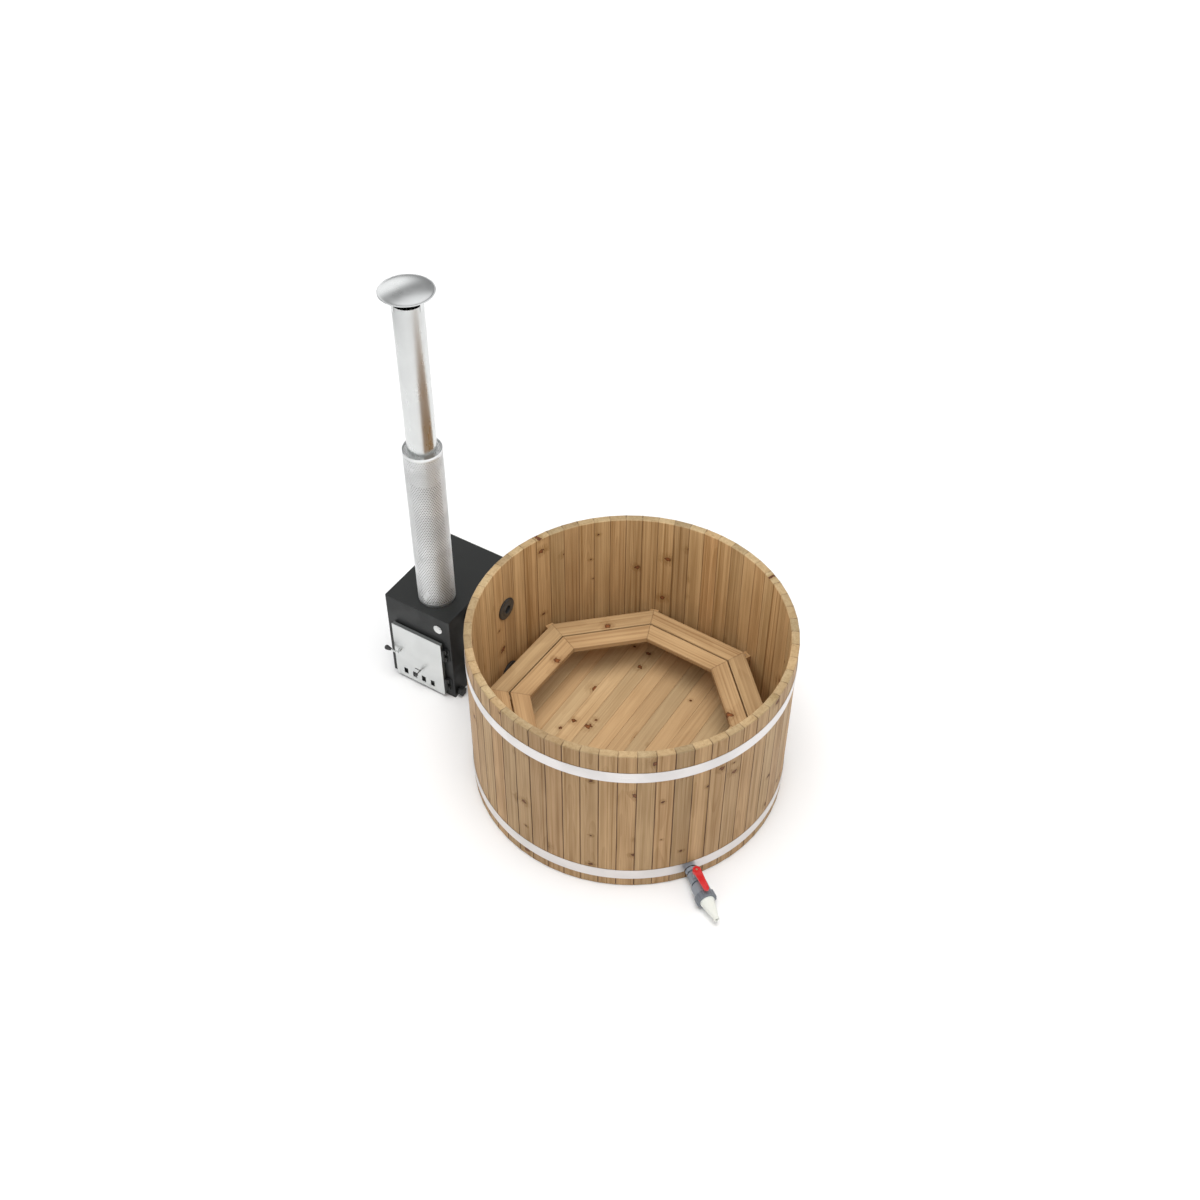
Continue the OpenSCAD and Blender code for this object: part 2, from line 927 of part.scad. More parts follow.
module valve_ball() {
  color([0.80, 0.81, 0.82])
    drain_frame()
      translate([valve_r, 0, 0])
        difference() {
          sphere(r = ball_r);
          round_x(-ball_r - through, ball_r + through, ball_bore_r);
          block([-tang[0] / 2, -tang[1] / 2, ball_r - tang[2]], [tang[0] / 2, tang[1] / 2, ball_r + through]);
        }
}

module valve_stem() {
  color([0.70, 0.71, 0.73])
    drain_frame()
      translate([valve_r, 0, 0]) {
        block([-tang[0] / 2, -tang[1] / 2, ball_r - tang[2]], [tang[0] / 2, tang[1] / 2, ball_r + through]);
        translate([0, 0, ball_r + 0.3]) cylinder(r = stem_r, h = lever_top - ball_r - 0.3);
      }
}

module valve_lever() {
  arm_r = 14;
  color([0.80, 0.07, 0.05])
    drain_frame()
      translate([valve_r, 0, 0])
        difference() {
          union() {
            translate([0, 0, lever_z0]) cylinder(r = lever_hub_r, h = lever_top - lever_z0);
            translate([0, 0, lever_top - 9])
              linear_extrude(height = 9)
                polygon([
                  [0, -lever_hub_r], [lever_end - arm_r, -arm_r],
                  [lever_end - arm_r, arm_r], [0, lever_hub_r]
                ]);
            translate([lever_end - arm_r, 0, lever_top - 9]) cylinder(r = arm_r, h = 9);
          }
          translate([0, 0, lever_z0 - through]) cylinder(r = stem_r, h = lever_top);
        }
}

// ---- Stove ----

module side_hole(y, z, r) {
  translate([0, y, z]) round_x(stove_x1 - 2 * casing_t, stove_x1 + casing_t, r);
}

module stove_casing() {
  color([0.24, 0.25, 0.25])
    difference() {
      block([stove_x0, panel_back, 0], [stove_x1, stove_y1, lid_z]);
      block(
        [stove_x0 + casing_t, panel_back - through, casing_t],
        [stove_x1 - casing_t, stove_y1 - casing_t, lid_z + through]
      );
      for (z = [warm_stub_z, cool_stub_z]) side_hole(port_y, z, tail_r);
      side_hole(plug_y, plug_z, plug_r);
    }
}

module stove_top_plate() {
  color([0.25, 0.26, 0.26])
    difference() {
      block([stove_x0, stove_front_y, lid_z], [stove_x1, stove_y1, stove_h]);
      translate([flue_x, 0, lid_z - through]) cylinder(r = spigot_r, h = plate_t + 2 * through);
    }
}

module stove_front_panel() {
  color([0.24, 0.25, 0.25])
    difference() {
      block([stove_x0, stove_front_y, 0], [stove_x1, panel_back, lid_z]);
      block([mouth_x0, stove_front_y - through, mouth_z0], [mouth_x1, panel_back + through, mouth_z1]);
    }
}

// The fire chamber, open to the front panel, with ledges for the grate and the baffle
module firebox() {
  in_x0 = box_x0 + plate_t;
  in_x1 = box_x1 - plate_t;
  in_y1 = box_y1 - plate_t;
  color([0.20, 0.20, 0.20]) {
    difference() {
      block([box_x0, panel_back, box_z0], [box_x1, box_y1, box_z1]);
      block([in_x0, panel_back - through, box_z0 + plate_t], [in_x1, in_y1, box_z1 - plate_t]);
      translate([flue_x, 0, box_z1 - plate_t - through]) cylinder(r = spigot_r, h = plate_t + 2 * through);
    }
    for (z = [grate_z, baffle_z]) {
      block([in_x0 - through, panel_back, z - ledge], [in_x0 + ledge, in_y1, z]);
      block([in_x1 - ledge, panel_back, z - ledge], [in_x1 + through, in_y1, z]);
    }
  }
}

module fire_grate() {
  in_x0 = box_x0 + plate_t + fit;
  in_x1 = box_x1 - plate_t - fit;
  y0 = panel_back + 20;
  y1 = box_y1 - plate_t - 20;
  bar = 26;
  n = floor((in_x1 - in_x0 - 30) / bar);
  color([0.16, 0.16, 0.16])
    difference() {
      block([in_x0, y0, grate_z], [in_x1, y1, grate_z + grate_t]);
      for (i = [0:n - 1], s = [0, 1])
        translate([(in_x0 + in_x1) / 2 + (i - (n - 1) / 2) * bar, (y0 + y1) / 2, grate_z - through])
          mirror([0, s, 0])
            translate([-6, 12, 0])
              cube([12, (y1 - y0) / 2 - 32, grate_t + 2 * through]);
    }
}

module baffle_plate() {
  color([0.18, 0.18, 0.18])
    block(
      [box_x0 + plate_t + fit, panel_back + fit, baffle_z],
      [box_x1 - plate_t - fit, baffle_y1, baffle_z + baffle_t]
    );
}

module flue_collar() {
  color([0.22, 0.22, 0.22])
    translate([flue_x, 0, box_z1 - plate_t])
      ring(spigot_r, spigot_r - 3, stove_h + 54 - box_z1 + plate_t, $fn = 96);
}

module pipe_stubs() {
  color([0.24, 0.25, 0.25])
    for (z = [warm_stub_z, cool_stub_z])
      translate([0, port_y, z])
        round_x(-stub_in, -stub_out, tail_r, stub_bore_r);
}

// A short threaded stub closed by a hexagonal cap
module jacket_plug() {
  cap_in = stove_x1 + 9;
  cap_out = stove_x1 + 31;
  color([0.28, 0.29, 0.29])
    translate([0, plug_y, plug_z]) {
      round_x(stove_x1 - 8, cap_out - 8, plug_r, plug_r - 4);
      translate([cap_in, 0, 0])
        rotate([0, 90, 0])
          rotate([0, 0, 30])
            difference() {
              cylinder(r = plug_af / 2 / cos(30), h = cap_out - cap_in, $fn = 6);
              translate([0, 0, -through]) cylinder(r = plug_r + fit, h = cap_out - cap_in - 7 + through);
            }
    }
}

module round_plate() {
  color([0.85, 0.86, 0.87])
    translate([badge_x, stove_front_y, badge_z])
      rotate([90, 0, 0])
        cylinder(r = badge_r, h = badge_t);
}

// ---- Stove door ----

module at_hinges() {
  for (z = hinge_z) translate([hinge_x, hinge_y, z]) children();
}

// Two knuckles and a leaf screwed to the front panel
module hinge_brackets() {
  leaf_y = stove_front_y - hinge_y;
  color([0.20, 0.20, 0.20])
    at_hinges()
      difference() {
        union() {
          for (z = [0, 2 * knuckle_h])
            translate([0, 0, z]) {
              cylinder(r = knuckle_r, h = knuckle_h);
              block([0, 0, 0], [2 * knuckle_r, leaf_y, knuckle_h]);
            }
          block([knuckle_r + 1, leaf_y - 4, 0], [knuckle_r + 21, leaf_y, 3 * knuckle_h]);
        }
        translate([0, 0, -through]) cylinder(r = pin_r, h = 3 * knuckle_h + 2 * through);
      }
}

module hinge_pins() {
  color([0.60, 0.61, 0.62])
    at_hinges() {
      translate([0, 0, -4]) cylinder(r = pin_r, h = 3 * knuckle_h + 4);
      translate([0, 0, 3 * knuckle_h]) cylinder(r = pin_r + 3, h = 4);
    }
}

// The knuckles on the door, between those of the brackets
module hinge_arms() {
  color([0.20, 0.20, 0.20])
    at_hinges()
      translate([0, 0, knuckle_h + fit])
        difference() {
          union() {
            cylinder(r = knuckle_r, h = knuckle_h - 2 * fit);
            block([door_x1 - box_in - hinge_x, arm_y[0] - hinge_y, 0], [0, arm_y[1] - hinge_y, knuckle_h - 2 * fit]);
          }
          translate([0, 0, -through]) cylinder(r = pin_r + pin_clear, h = knuckle_h + 2 * through);
        }
}

// Places its children at each air slot, at the skin's back
module at_slots() {
  for (i = [0:slot_n - 1])
    translate([slots_x + (i - (slot_n - 1) / 2) * slot_pitch, 0, slots_z])
      children();
}

module spindle_hole(y0, y1, clear) {
  translate([latch_x, y1, latch_z])
    rotate([90, 0, 0])
      cylinder(r = spindle_r + clear, h = y1 - y0);
}

// The bright sheet on the front of the door, with its four air slots and the rod's slot
module door_face() {
  color([0.80, 0.81, 0.82])
    difference() {
      block([door_x0, face_y, door_z0], [door_x1, skin_y, door_z1]);
      at_slots() block([-slot_w / 2, face_y - through, -slot_h / 2], [slot_w / 2, skin_y + through, slot_h / 2]);
      block(
        [damper_rod[0] - damper_travel - damper_rod_r - 1, face_y - through, damper_rod[1] - damper_rod_r - 1],
        [damper_rod[0] + damper_rod_r + 1, skin_y + through, damper_rod[1] + damper_rod_r + 1]
      );
      spindle_hole(face_y - through, skin_y + through, pin_clear);
    }
}

// The folded steel box behind the face, with the damper's guides
module door_box() {
  x0 = door_x0 + box_in;
  x1 = door_x1 - box_in;
  color([0.18, 0.18, 0.18]) {
    difference() {
      block([x0, skin_y, door_z0 + box_in], [x1, box_back_y, door_z1 - box_in]);
      block(
        [x0 + box_skin, skin_y - through, door_z0 + box_in + box_skin],
        [x1 - box_skin, box_back_y - box_skin, door_z1 - box_in - box_skin]
      );
      at_slots() block([-slot_w / 2, skin_y, mouth_z0 + 2 - slots_z], [slot_w / 2, box_back_y + through, slot_h / 2]);
      spindle_hole(skin_y, box_back_y + through, pin_clear);
    }
    for (s = [0, 1]) damper_guide(s, x0 + box_skin, x1 - box_skin);
  }
}

// A guide under (s = 0) or over (s = 1) the damper: a bar with a lip behind the plate's edge
module damper_guide(s, x0, x1) {
  edge = damper_z[s];
  out = s == 0 ? -1 : 1;
  lip_y = damper_y + damper_t + fit;
  z_near = edge + out * fit;
  z_far = edge + out * guide_h;
  z_lip = edge - out * guide_lip;
  block([x0 - through, skin_y, min(z_near, z_far)], [x1 + through, lip_y + 2, max(z_near, z_far)]);
  block([x0 - through, lip_y, min(z_far, z_lip)], [x1 + through, lip_y + 2, max(z_far, z_lip)]);
}

// The insulating board on the door's inner side
module door_liner() {
  color([0.62, 0.58, 0.50])
    difference() {
      block([mouth_x0 + 4, box_back_y, liner_z0], [mouth_x1 - 4, liner_y, mouth_z1 - 4]);
      spindle_hole(box_back_y - through, liner_y + through, pin_clear);
    }
}

// The rope seal on the door, which meets the front panel round its opening
module door_gasket() {
  color([0.30, 0.30, 0.29])
    difference() {
      block([seal_x0, box_back_y, seal_z0], [seal_x1, stove_front_y - seal_gap, seal_z1]);
      block(
        [seal_x0 + seal_w, box_back_y - through, seal_z0 + seal_w],
        [seal_x1 - seal_w, stove_front_y + through, seal_z1 - seal_w]
      );
    }
}

// The spindle through the door, its collar on the face and the lever arm
module latch_lever() {
  collar_y = face_y - 0.3;
  arm_y0 = face_y - 26;
  color([0.75, 0.76, 0.77])
    translate([latch_x, 0, latch_z]) {
      translate([0, hook_y + hook_t, 0]) rotate([90, 0, 0]) cylinder(r = spindle_r, h = hook_y + hook_t - arm_y0);
      translate([0, collar_y, 0]) rotate([90, 0, 0]) cylinder(r = 9, h = 10);
      block([-latch_arm_l, arm_y0, -5], [0, arm_y0 + 8, 5]);
      translate([0, arm_y0 + 8, 0]) rotate([90, 0, 0]) cylinder(r = 9, h = 8);
    }
}

// A ball with a tapered neck, pressed on the arm's end
module latch_knob() {
  ball = latch_knob_l - latch_knob_r;
  round_end = [for (a = [-25:11.5:90]) [latch_knob_r * cos(a), ball + latch_knob_r * sin(a)]];
  color([0.07, 0.07, 0.07])
    translate([latch_x - latch_arm_l + 4, face_y - 22, latch_z])
      difference() {
        rotate([0, -90, 0]) rotate_extrude() polygon(concat([[0, 0], [8, 0]], round_end));
        block([-4, -4, -5], [through, 4, 5]);
      }
}

module latch_hook() {
  color([0.30, 0.30, 0.30])
    translate([latch_x, hook_y, latch_z])
      difference() {
        union() {
          translate([0, hook_t, 0]) rotate([90, 0, 0]) cylinder(r = 10, h = hook_t);
          block([-7, 0, 0], [7, hook_t, hook_l]);
        }
        translate([0, hook_t + through, 0]) rotate([90, 0, 0]) cylinder(r = spindle_r, h = hook_t + 2 * through);
      }
}

// ---- Air damper ----

// The sliding plate, with a window at each air slot, and the rod that moves it
module air_damper() {
  bar = (slot_pitch - slot_w) / 2;
  half = 1.5 * slot_pitch + slot_w / 2 + bar / 2;
  color([0.35, 0.35, 0.35]) {
    difference() {
      block([slots_x - half, damper_y, damper_z[0]], [slots_x + half + bar + 12, damper_y + damper_t, damper_z[1]]);
      at_slots()
        block(
          [-slot_w / 2 - 0.5, damper_y - through, -slot_h / 2 - 0.5],
          [slot_w / 2 + 0.5, damper_y + damper_t + through, slot_h / 2 + 0.5]
        );
    }
    translate([damper_rod[0], damper_y + damper_t / 2, damper_rod[1]])
      rotate([90, 0, 0])
        cylinder(r = damper_rod_r, h = damper_rod_l);
  }
}

module damper_knob() {
  tip_y = damper_y + damper_t / 2 - damper_rod_l;
  color([0.07, 0.07, 0.07])
    translate([damper_rod[0], tip_y, damper_rod[1]])
      rotate([90, 0, 0])
        difference() {
          translate([0, 0, -10]) cylinder(r = knob_r, h = 14);
          translate([0, 0, -10 - through]) cylinder(r = damper_rod_r, h = 10 + through);
        }
}

// ---- Chimney ----

module at_flue(z) {
  translate([flue_x, 0, z]) children();
}

// Slides over the collar and stands on the stove's top plate
module lower_flue() {
  color([0.82, 0.83, 0.84])
    at_flue(stove_h) ring(flue_r, spigot_r, flue_joint_z - stove_h, $fn = 96);
}

// Its spigot enters the lower flue
module upper_flue() {
  color([0.82, 0.83, 0.84])
    at_flue(0)
      rotate_extrude($fn = 96)
        polygon([
          [spigot_r - flue_t, flue_joint_z - spigot_l], [spigot_r, flue_joint_z - spigot_l],
          [spigot_r, flue_joint_z], [flue_r, flue_joint_z], [flue_r, flue_top],
          [spigot_r, flue_top], [spigot_r, flue_joint_z + 4], [spigot_r - flue_t, flue_joint_z + 2]
        ]);
}

// Plain tube here: its round holes are far smaller than its wall is long
module heat_guard() {
  color([0.62, 0.63, 0.64])
    at_flue(stove_h) ring(guard_r, guard_r - flue_t, guard_top - stove_h, $fn = 96);
}

// Folded strips between the flue and the guard
module guard_spacers() {
  gap0 = flue_r;
  gap1 = guard_r - flue_t;
  color([0.60, 0.61, 0.62])
    for (z = spacer_z, i = [0:2])
      at_flue(z)
        rotate([0, 0, 30 + i * 120])
          intersection() {
            union() {
              block([gap0 - 2, -spacer_w / 2, 0], [gap1 + 2, spacer_w / 2, spacer_t]);
              block([gap0 - 2, -spacer_w / 2, 0], [gap0 + spacer_t, spacer_w / 2, spacer_h]);
              block([gap1 - spacer_t - 1, -spacer_w / 2, -spacer_h], [gap1 + 2, spacer_w / 2, spacer_t]);
            }
            translate([0, 0, -2 * spacer_h]) ring(gap1, gap0, 4 * spacer_h, $fn = 96);
          }
}

// Height of the cap's outer skin at distance r from its axis, a shallow dome
function cap_rise_at(r) = cap_rise * (1 - pow(r / (cap_d / 2), 2));

// The dome, its rolled rim and the straps that carry it, welded together
module rain_cap() {
  steps = 12;
  rim_z = flue_top + cap_gap;
  radii = [for (i = [0:steps]) cap_d / 2 * i / steps];
  top = [for (r = radii) [r, rim_z + cap_rise_at(r)]];
  under = [for (i = [steps:-1:0]) [radii[i], rim_z + cap_rise_at(radii[i]) - cap_t]];
  color([0.66, 0.67, 0.68])
    at_flue(0) {
      rotate_extrude($fn = 96) polygon(concat(top, under));
      difference() {
        for (i = [0:strap_n - 1])
          rotate([0, 0, strap_az + i * 360 / strap_n])
            block(
              [flue_r, -strap_w / 2, flue_top - strap_l],
              [flue_r + strap_t, strap_w / 2, rim_z + cap_rise]
            );
        rotate_extrude($fn = 96)
          polygon(concat([[0, rim_z + 3 * cap_rise], [cap_d, rim_z + 3 * cap_rise], [cap_d, rim_z]],
            [for (i = [steps:-1:0]) top[i] - [0, cap_t / 2]]));
      }
    }
}

wall_staves();
bored_staves();
floor_boards();
floor_bearers();
upper_hoop();
lower_hoop();
hoop_lugs();
hoop_rods();
hoop_nuts();
bench_inner_boards();
bench_outer_boards();
bench_rails();
bench_legs();
bench_screws();
wall_flanges();
wall_gaskets();
wall_nuts();
hoses();
hose_clamps();
drain_strainer();
drain_flange();
drain_sump();
drain_pipe();
drain_bush();
drain_nut();
valve_body();
valve_seats();
valve_tailpiece();
valve_union_nut();
hose_nozzle();
valve_ball();
valve_stem();
valve_lever();
stove_casing();
stove_top_plate();
stove_front_panel();
firebox();
fire_grate();
baffle_plate();
flue_collar();
pipe_stubs();
jacket_plug();
round_plate();
hinge_brackets();
hinge_pins();
hinge_arms();
door_face();
door_box();
door_liner();
door_gasket();
latch_lever();
latch_knob();
latch_hook();
air_damper();
damper_knob();
lower_flue();
upper_flue();
heat_guard();
guard_spacers();
rain_cap();
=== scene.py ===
"""Finishes and fine shapes of a round wooden soaking tub and the wood stove beside it.

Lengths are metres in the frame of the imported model: Z is the tub's axis and points up, the stove
stands on the -X side with its door facing -Y, and a finish reads the piece's own coordinates.
"""

import json
import logging
import math
from dataclasses import dataclass
from enum import Enum
from functools import cache
from typing import Callable, ClassVar, Iterable

import bmesh
import bpy
from mathutils import Matrix, Vector

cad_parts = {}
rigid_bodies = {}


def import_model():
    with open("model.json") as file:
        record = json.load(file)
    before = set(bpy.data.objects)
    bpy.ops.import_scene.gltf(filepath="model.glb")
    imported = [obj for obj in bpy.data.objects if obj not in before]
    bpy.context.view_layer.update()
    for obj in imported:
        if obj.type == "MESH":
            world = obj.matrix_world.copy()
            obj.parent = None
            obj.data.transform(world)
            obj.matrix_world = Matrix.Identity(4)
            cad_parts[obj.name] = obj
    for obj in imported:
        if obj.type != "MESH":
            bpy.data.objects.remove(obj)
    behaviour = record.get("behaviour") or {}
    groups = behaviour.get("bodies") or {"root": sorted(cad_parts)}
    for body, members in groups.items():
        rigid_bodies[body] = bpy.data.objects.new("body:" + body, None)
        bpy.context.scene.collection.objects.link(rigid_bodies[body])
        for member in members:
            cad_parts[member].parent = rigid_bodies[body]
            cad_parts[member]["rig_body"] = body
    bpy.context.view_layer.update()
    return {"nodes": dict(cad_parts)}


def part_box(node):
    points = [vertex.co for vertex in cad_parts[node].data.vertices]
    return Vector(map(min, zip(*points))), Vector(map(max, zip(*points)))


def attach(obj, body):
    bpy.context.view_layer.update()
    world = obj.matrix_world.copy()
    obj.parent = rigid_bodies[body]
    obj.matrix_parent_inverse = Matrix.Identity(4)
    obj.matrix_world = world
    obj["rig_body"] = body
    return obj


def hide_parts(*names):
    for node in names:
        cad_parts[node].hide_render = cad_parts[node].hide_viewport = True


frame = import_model()

LOG = logging.getLogger("hot_tub")
Socket = bpy.types.NodeSocket
Piece = bpy.types.Object
Shape = bmesh.types.BMesh
Triple = tuple[float, float, float]
Colour = tuple[float, float, float, float]
Span = tuple[float, float, float, float]
Point = tuple[float, float]

MERGE = 1e-6
FLAT = math.radians(0.6)
CREASE = math.radians(32)
CORNER_SHARE = 0.49
SMUDGE_EDGE = (0.35, 0.68)
SPECK_EDGE = (0.66, 0.78)
SPECK_SCALE = 420.0
GRAIN_EDGE = (0.3, 0.7)
UP = Vector((0, 0, 1))
LEVEL = Vector((1, 1, 0))


def linear(colour: Triple) -> Colour:
    """Turns a screen colour of 0 to 255 into a shader's linear colour, with an alpha of 1."""
    parts = (c / 255 for c in colour)
    return (*(p / 12.92 if p <= 0.04045 else ((p + 0.055) / 1.055) ** 2.4 for p in parts), 1.0)


def darker(colour: Triple, share: float) -> Triple:
    """Returns a screen colour with each of its parts scaled down to a share."""
    return tuple(part * share for part in colour)


# ---------------------------------------------------------------- shader graphs


class Signal:
    """What a node puts out. Numbers take the usual arithmetic, each step as one Math node."""

    def __init__(self, graph: "Graph", socket: Socket) -> None:
        """Keeps the graph and the output socket."""
        self.graph = graph
        self.socket = socket

    def __add__(self, other: "Value") -> "Signal":
        """Adds."""
        return self.graph.math("ADD", self, other)

    def __sub__(self, other: "Value") -> "Signal":
        """Subtracts."""
        return self.graph.math("SUBTRACT", self, other)

    def __rsub__(self, other: float) -> "Signal":
        """Subtracts from a plain number."""
        return self.graph.math("SUBTRACT", other, self)

    def __mul__(self, other: "Value") -> "Signal":
        """Multiplies."""
        return self.graph.math("MULTIPLY", self, other)

    def __truediv__(self, other: "Value") -> "Signal":
        """Divides."""
        return self.graph.math("DIVIDE", self, other)

    def __abs__(self) -> "Signal":
        """Takes the sign away."""
        return self.graph.math("ABSOLUTE", self)


Value = float | Socket | Signal


class Graph:
    """Adds shader nodes to one tree and hands back what they put out."""

    def __init__(self, tree: bpy.types.NodeTree) -> None:
        """Keeps the tree of a material, a world or a node group."""
        self.tree = tree

    def feed(self, socket: Socket, value: Value | Iterable[float]) -> None:
        """Links a value to an input, or sets the input's own value.

        Args:
            socket: The input.
            value: What another node puts out, or a plain number, vector or colour.
        """
        value = value.socket if isinstance(value, Signal) else value
        if isinstance(value, Socket):
            self.tree.links.new(value, socket)
        else:
            socket.default_value = value

    def node(self, kind: str, settings: dict | None = None, **inputs: Value) -> bpy.types.Node:
        """Adds a node.

        Args:
            kind: The node's class name without its ShaderNode prefix.
            settings: Properties of the node itself.
            inputs: Values for its inputs, with spaces in a name written as underscores.
        Returns:
            The new node.
        """
        made = self.tree.nodes.new("ShaderNode" + kind)
        for key, value in (settings or {}).items():
            setattr(made, key, value)
        for name, value in inputs.items():
            self.feed(made.inputs[name.replace("_", " ")], value)
        return made

    def value(
        self, kind: str, output: int | str = 0, settings: dict | None = None, **inputs: Value,
    ) -> Signal:
        """Adds a node and returns one of its outputs, which is given by its place or its name."""
        return Signal(self, self.node(kind, settings, **inputs).outputs[output])

    def filled(self, kind: str, settings: dict, given: dict[int, Value], output: int = 0) -> Signal:
        """Adds a node whose inputs are told apart by their places.

        Args:
            kind: The node's class name without its ShaderNode prefix.
            settings: Properties of the node itself.
            given: Values by the place of the input.
            output: The place of the output.
        Returns:
            What the node puts out there.
        """
        made = self.node(kind, settings)
        for place, value in given.items():
            self.feed(made.inputs[place], value)
        return Signal(self, made.outputs[output])

    def math(self, operation: str, *values: Value, clamp: bool = False) -> Signal:
        """Adds a Math node, kept within 0 and 1 where it is clamped, and returns its result."""
        settings = {"operation": operation, "use_clamp": clamp}
        return self.filled("Math", settings, dict(enumerate(values)))

    def ease(self, value: Value, low: float, high: float, start: float = 0.0, end: float = 1.0) -> Signal:
        """Maps a value smoothly from low and high to start and end, and returns the result."""
        given = dict(enumerate((value, low, high, start, end)))
        return self.filled("MapRange", {"interpolation_type": "SMOOTHSTEP"}, given)

    def mix(self, factor: Value, first: Value | Colour, second: Value | Colour, blend: str = "MIX") -> Signal:
        """Mixes a share of a second colour into a first one and returns the result."""
        settings = {"data_type": "RGBA", "blend_type": blend}
        return self.filled("Mix", settings, {0: factor, 6: first, 7: second}, output=2)

    def tinted(self, colour: Signal, tint: Colour) -> Signal:
        """Returns a colour multiplied by a tint."""
        return self.mix(1.0, colour, tint, "MULTIPLY")

    def combine(self, x: Value, y: Value, z: Value = 0.0) -> Signal:
        """Joins three numbers into a vector and returns it."""
        return self.value("CombineXYZ", X=x, Y=y, Z=z)

    def split(self, vector: Value) -> tuple[Signal, Signal, Signal]:
        """Returns a vector's three numbers."""
        return tuple(Signal(self, part) for part in self.node("SeparateXYZ", Vector=vector).outputs)

    def length(self, x: Signal, y: Signal) -> Signal:
        """Returns the length of a flat vector."""
        return self.math("SQRT", x * x + y * y)

    def noise(self, vector: Value, scale: float, detail: float = 2.0, roughness: float = 0.5) -> Signal:
        """Adds a noise texture and returns its value of 0 to 1."""
        return self.value("TexNoise", "Fac", Vector=vector, Scale=scale, Detail=detail, Roughness=roughness)

    def stretched(self, vector: Value, scale: Triple) -> Signal:
        """Scales a vector by a different amount along each axis and returns it."""
        return self.value("Mapping", Vector=vector, Scale=scale)

    def upward(self) -> Signal:
        """Returns how far the surface faces up, from -1 to 1."""
        return self.split(self.value("NewGeometry", "Normal"))[2]

    def place(self, group: bpy.types.NodeTree, **inputs: Value) -> dict[str, Signal]:
        """Adds a shader node group with its inputs and returns what it puts out, by name."""
        made = self.node("Group", {"node_tree": group}, **inputs)
        return {socket.name: Signal(self, socket) for socket in made.outputs}


class Group(Graph):
    """A shader node group while it is built."""

    def __init__(self, name: str, inputs: dict[str, str], outputs: dict[str, str]) -> None:
        """Starts the group.

        Args:
            name: The group's name.
            inputs: Kinds of socket, such as Float or Color, each with its names set apart by commas.
            outputs: The same for what the group puts out.
        """
        super().__init__(bpy.data.node_groups.new(name, "ShaderNodeTree"))
        for side, kinds in (("INPUT", inputs), ("OUTPUT", outputs)):
            for kind, labels in kinds.items():
                for label in labels.split(", "):
                    self.tree.interface.new_socket(name=label, in_out=side, socket_type="NodeSocket" + kind)
        start = self.tree.nodes.new("NodeGroupInput")
        self.given = {socket.name: Signal(self, socket) for socket in start.outputs if socket.name}
        self.result = self.tree.nodes.new("NodeGroupOutput")

    def put(self, **values: Value) -> bpy.types.NodeTree:
        """Sends values to the group's outputs and returns its tree."""
        for label, value in values.items():
            self.feed(self.result.inputs[label], value)
        return self.tree


@cache
def sector_group() -> bpy.types.NodeTree:
    """Makes the group that finds a place on boards set round the Z axis.

    Returns:
        A group that puts out metres across and away from the axis, the board's number, and the
        distance to the board's nearest radial side.
    """
    group = Group(
        "round_the_axis", {"Vector": "Position", "Float": "Offset, Pitch, Count"},
        {"Float": "Across, Radial, Index, Inset"},
    )
    pitch = group.given["Pitch"]
    x, y, _ = group.split(group.given["Position"])
    turn = (group.math("ARCTAN2", y, x) - group.given["Offset"]) / pitch
    step = group.math("FLOOR", turn)
    angle = (turn - step - 0.5) * pitch
    reach = group.length(x, y)
    across = reach * group.math("SINE", angle)
    radial = reach * group.math("COSINE", angle)
    half = radial * group.math("TANGENT", pitch * 0.5)
    index = group.math("FLOORED_MODULO", step, group.given["Count"])
    return group.put(Across=across, Radial=radial, Index=index, Inset=half - abs(across))


@dataclass(frozen=True)
class Growth:
    """What planed softwood shows. Three frequencies are per metre across, into and along a board.

    A pair is a base with what chance adds to it, or the two ends of a soft edge. A span is what goes
    into an ease and what comes out at its ends.
    """

    board_step: float = 1.37
    pith_aside: float = 0.09
    pith_depth: Point = (0.03, 0.07)
    length_apart: float = 9.0

    knot_cells: Point = (6.5, 7.5)
    knot_shift: float = 3.1
    knot_size: Point = (0.026, 0.11)
    knot_ragged: float = 62.0
    knot_ragged_by: float = 2.4
    knot_edge: Point = (1.05, 0.8)
    knot_core: Point = (0.85, 0.2)
    knot_heart: Colour = linear((154, 94, 53))
    heart_size: Span = (0.2, 0.8, 0.0, 0.55)
    knot_dent: float = 0.3
    halo_edge: Point = (3.6, 0.9)
    halo_bend: float = 0.007
    halo_shade: float = 0.4

    ring_width: float = 0.0068
    ring_sway: Triple = (5.0, 5.0, 1.1)
    ring_sway_by: float = 0.05
    late_rise: Point = (0.25, 0.9)
    late_fall: Point = (1.0, 0.93)
    late_shade: float = 0.2
    fibre: Triple = (240.0, 240.0, 2.6)
    streak: Triple = (58.0, 58.0, 0.7)
    resin: Triple = (95.0, 95.0, 0.45)
    line_shares: tuple[Triple, ...] = ((0.3, 0.75, 0.25), (0.56, 0.7, 0.45), (0.36, 0.64, 0.5))
    blotch: Triple = (9.0, 9.0, 2.6)
    blotch_shade: float = 0.7
    mean_shade: float = 0.42
    fibre_height: float = 0.5
    late_height: float = 0.35

    end_lines: float = 0.5
    end_shade: float = 0.3
    end_spread: float = 1.5
    end_tint: Colour = (1.0, 1.15, 1.34, 1.0)
    ruddy_tint: Colour = linear((255, 232, 214))
    ruddy_share: float = 0.4
    seam_tint: Colour = linear((112, 80, 54))
    seam_reach: Point = (0.0042, 0.001)
    seam_broken: Span = (0.35, 0.6, 0.55, 1.0)


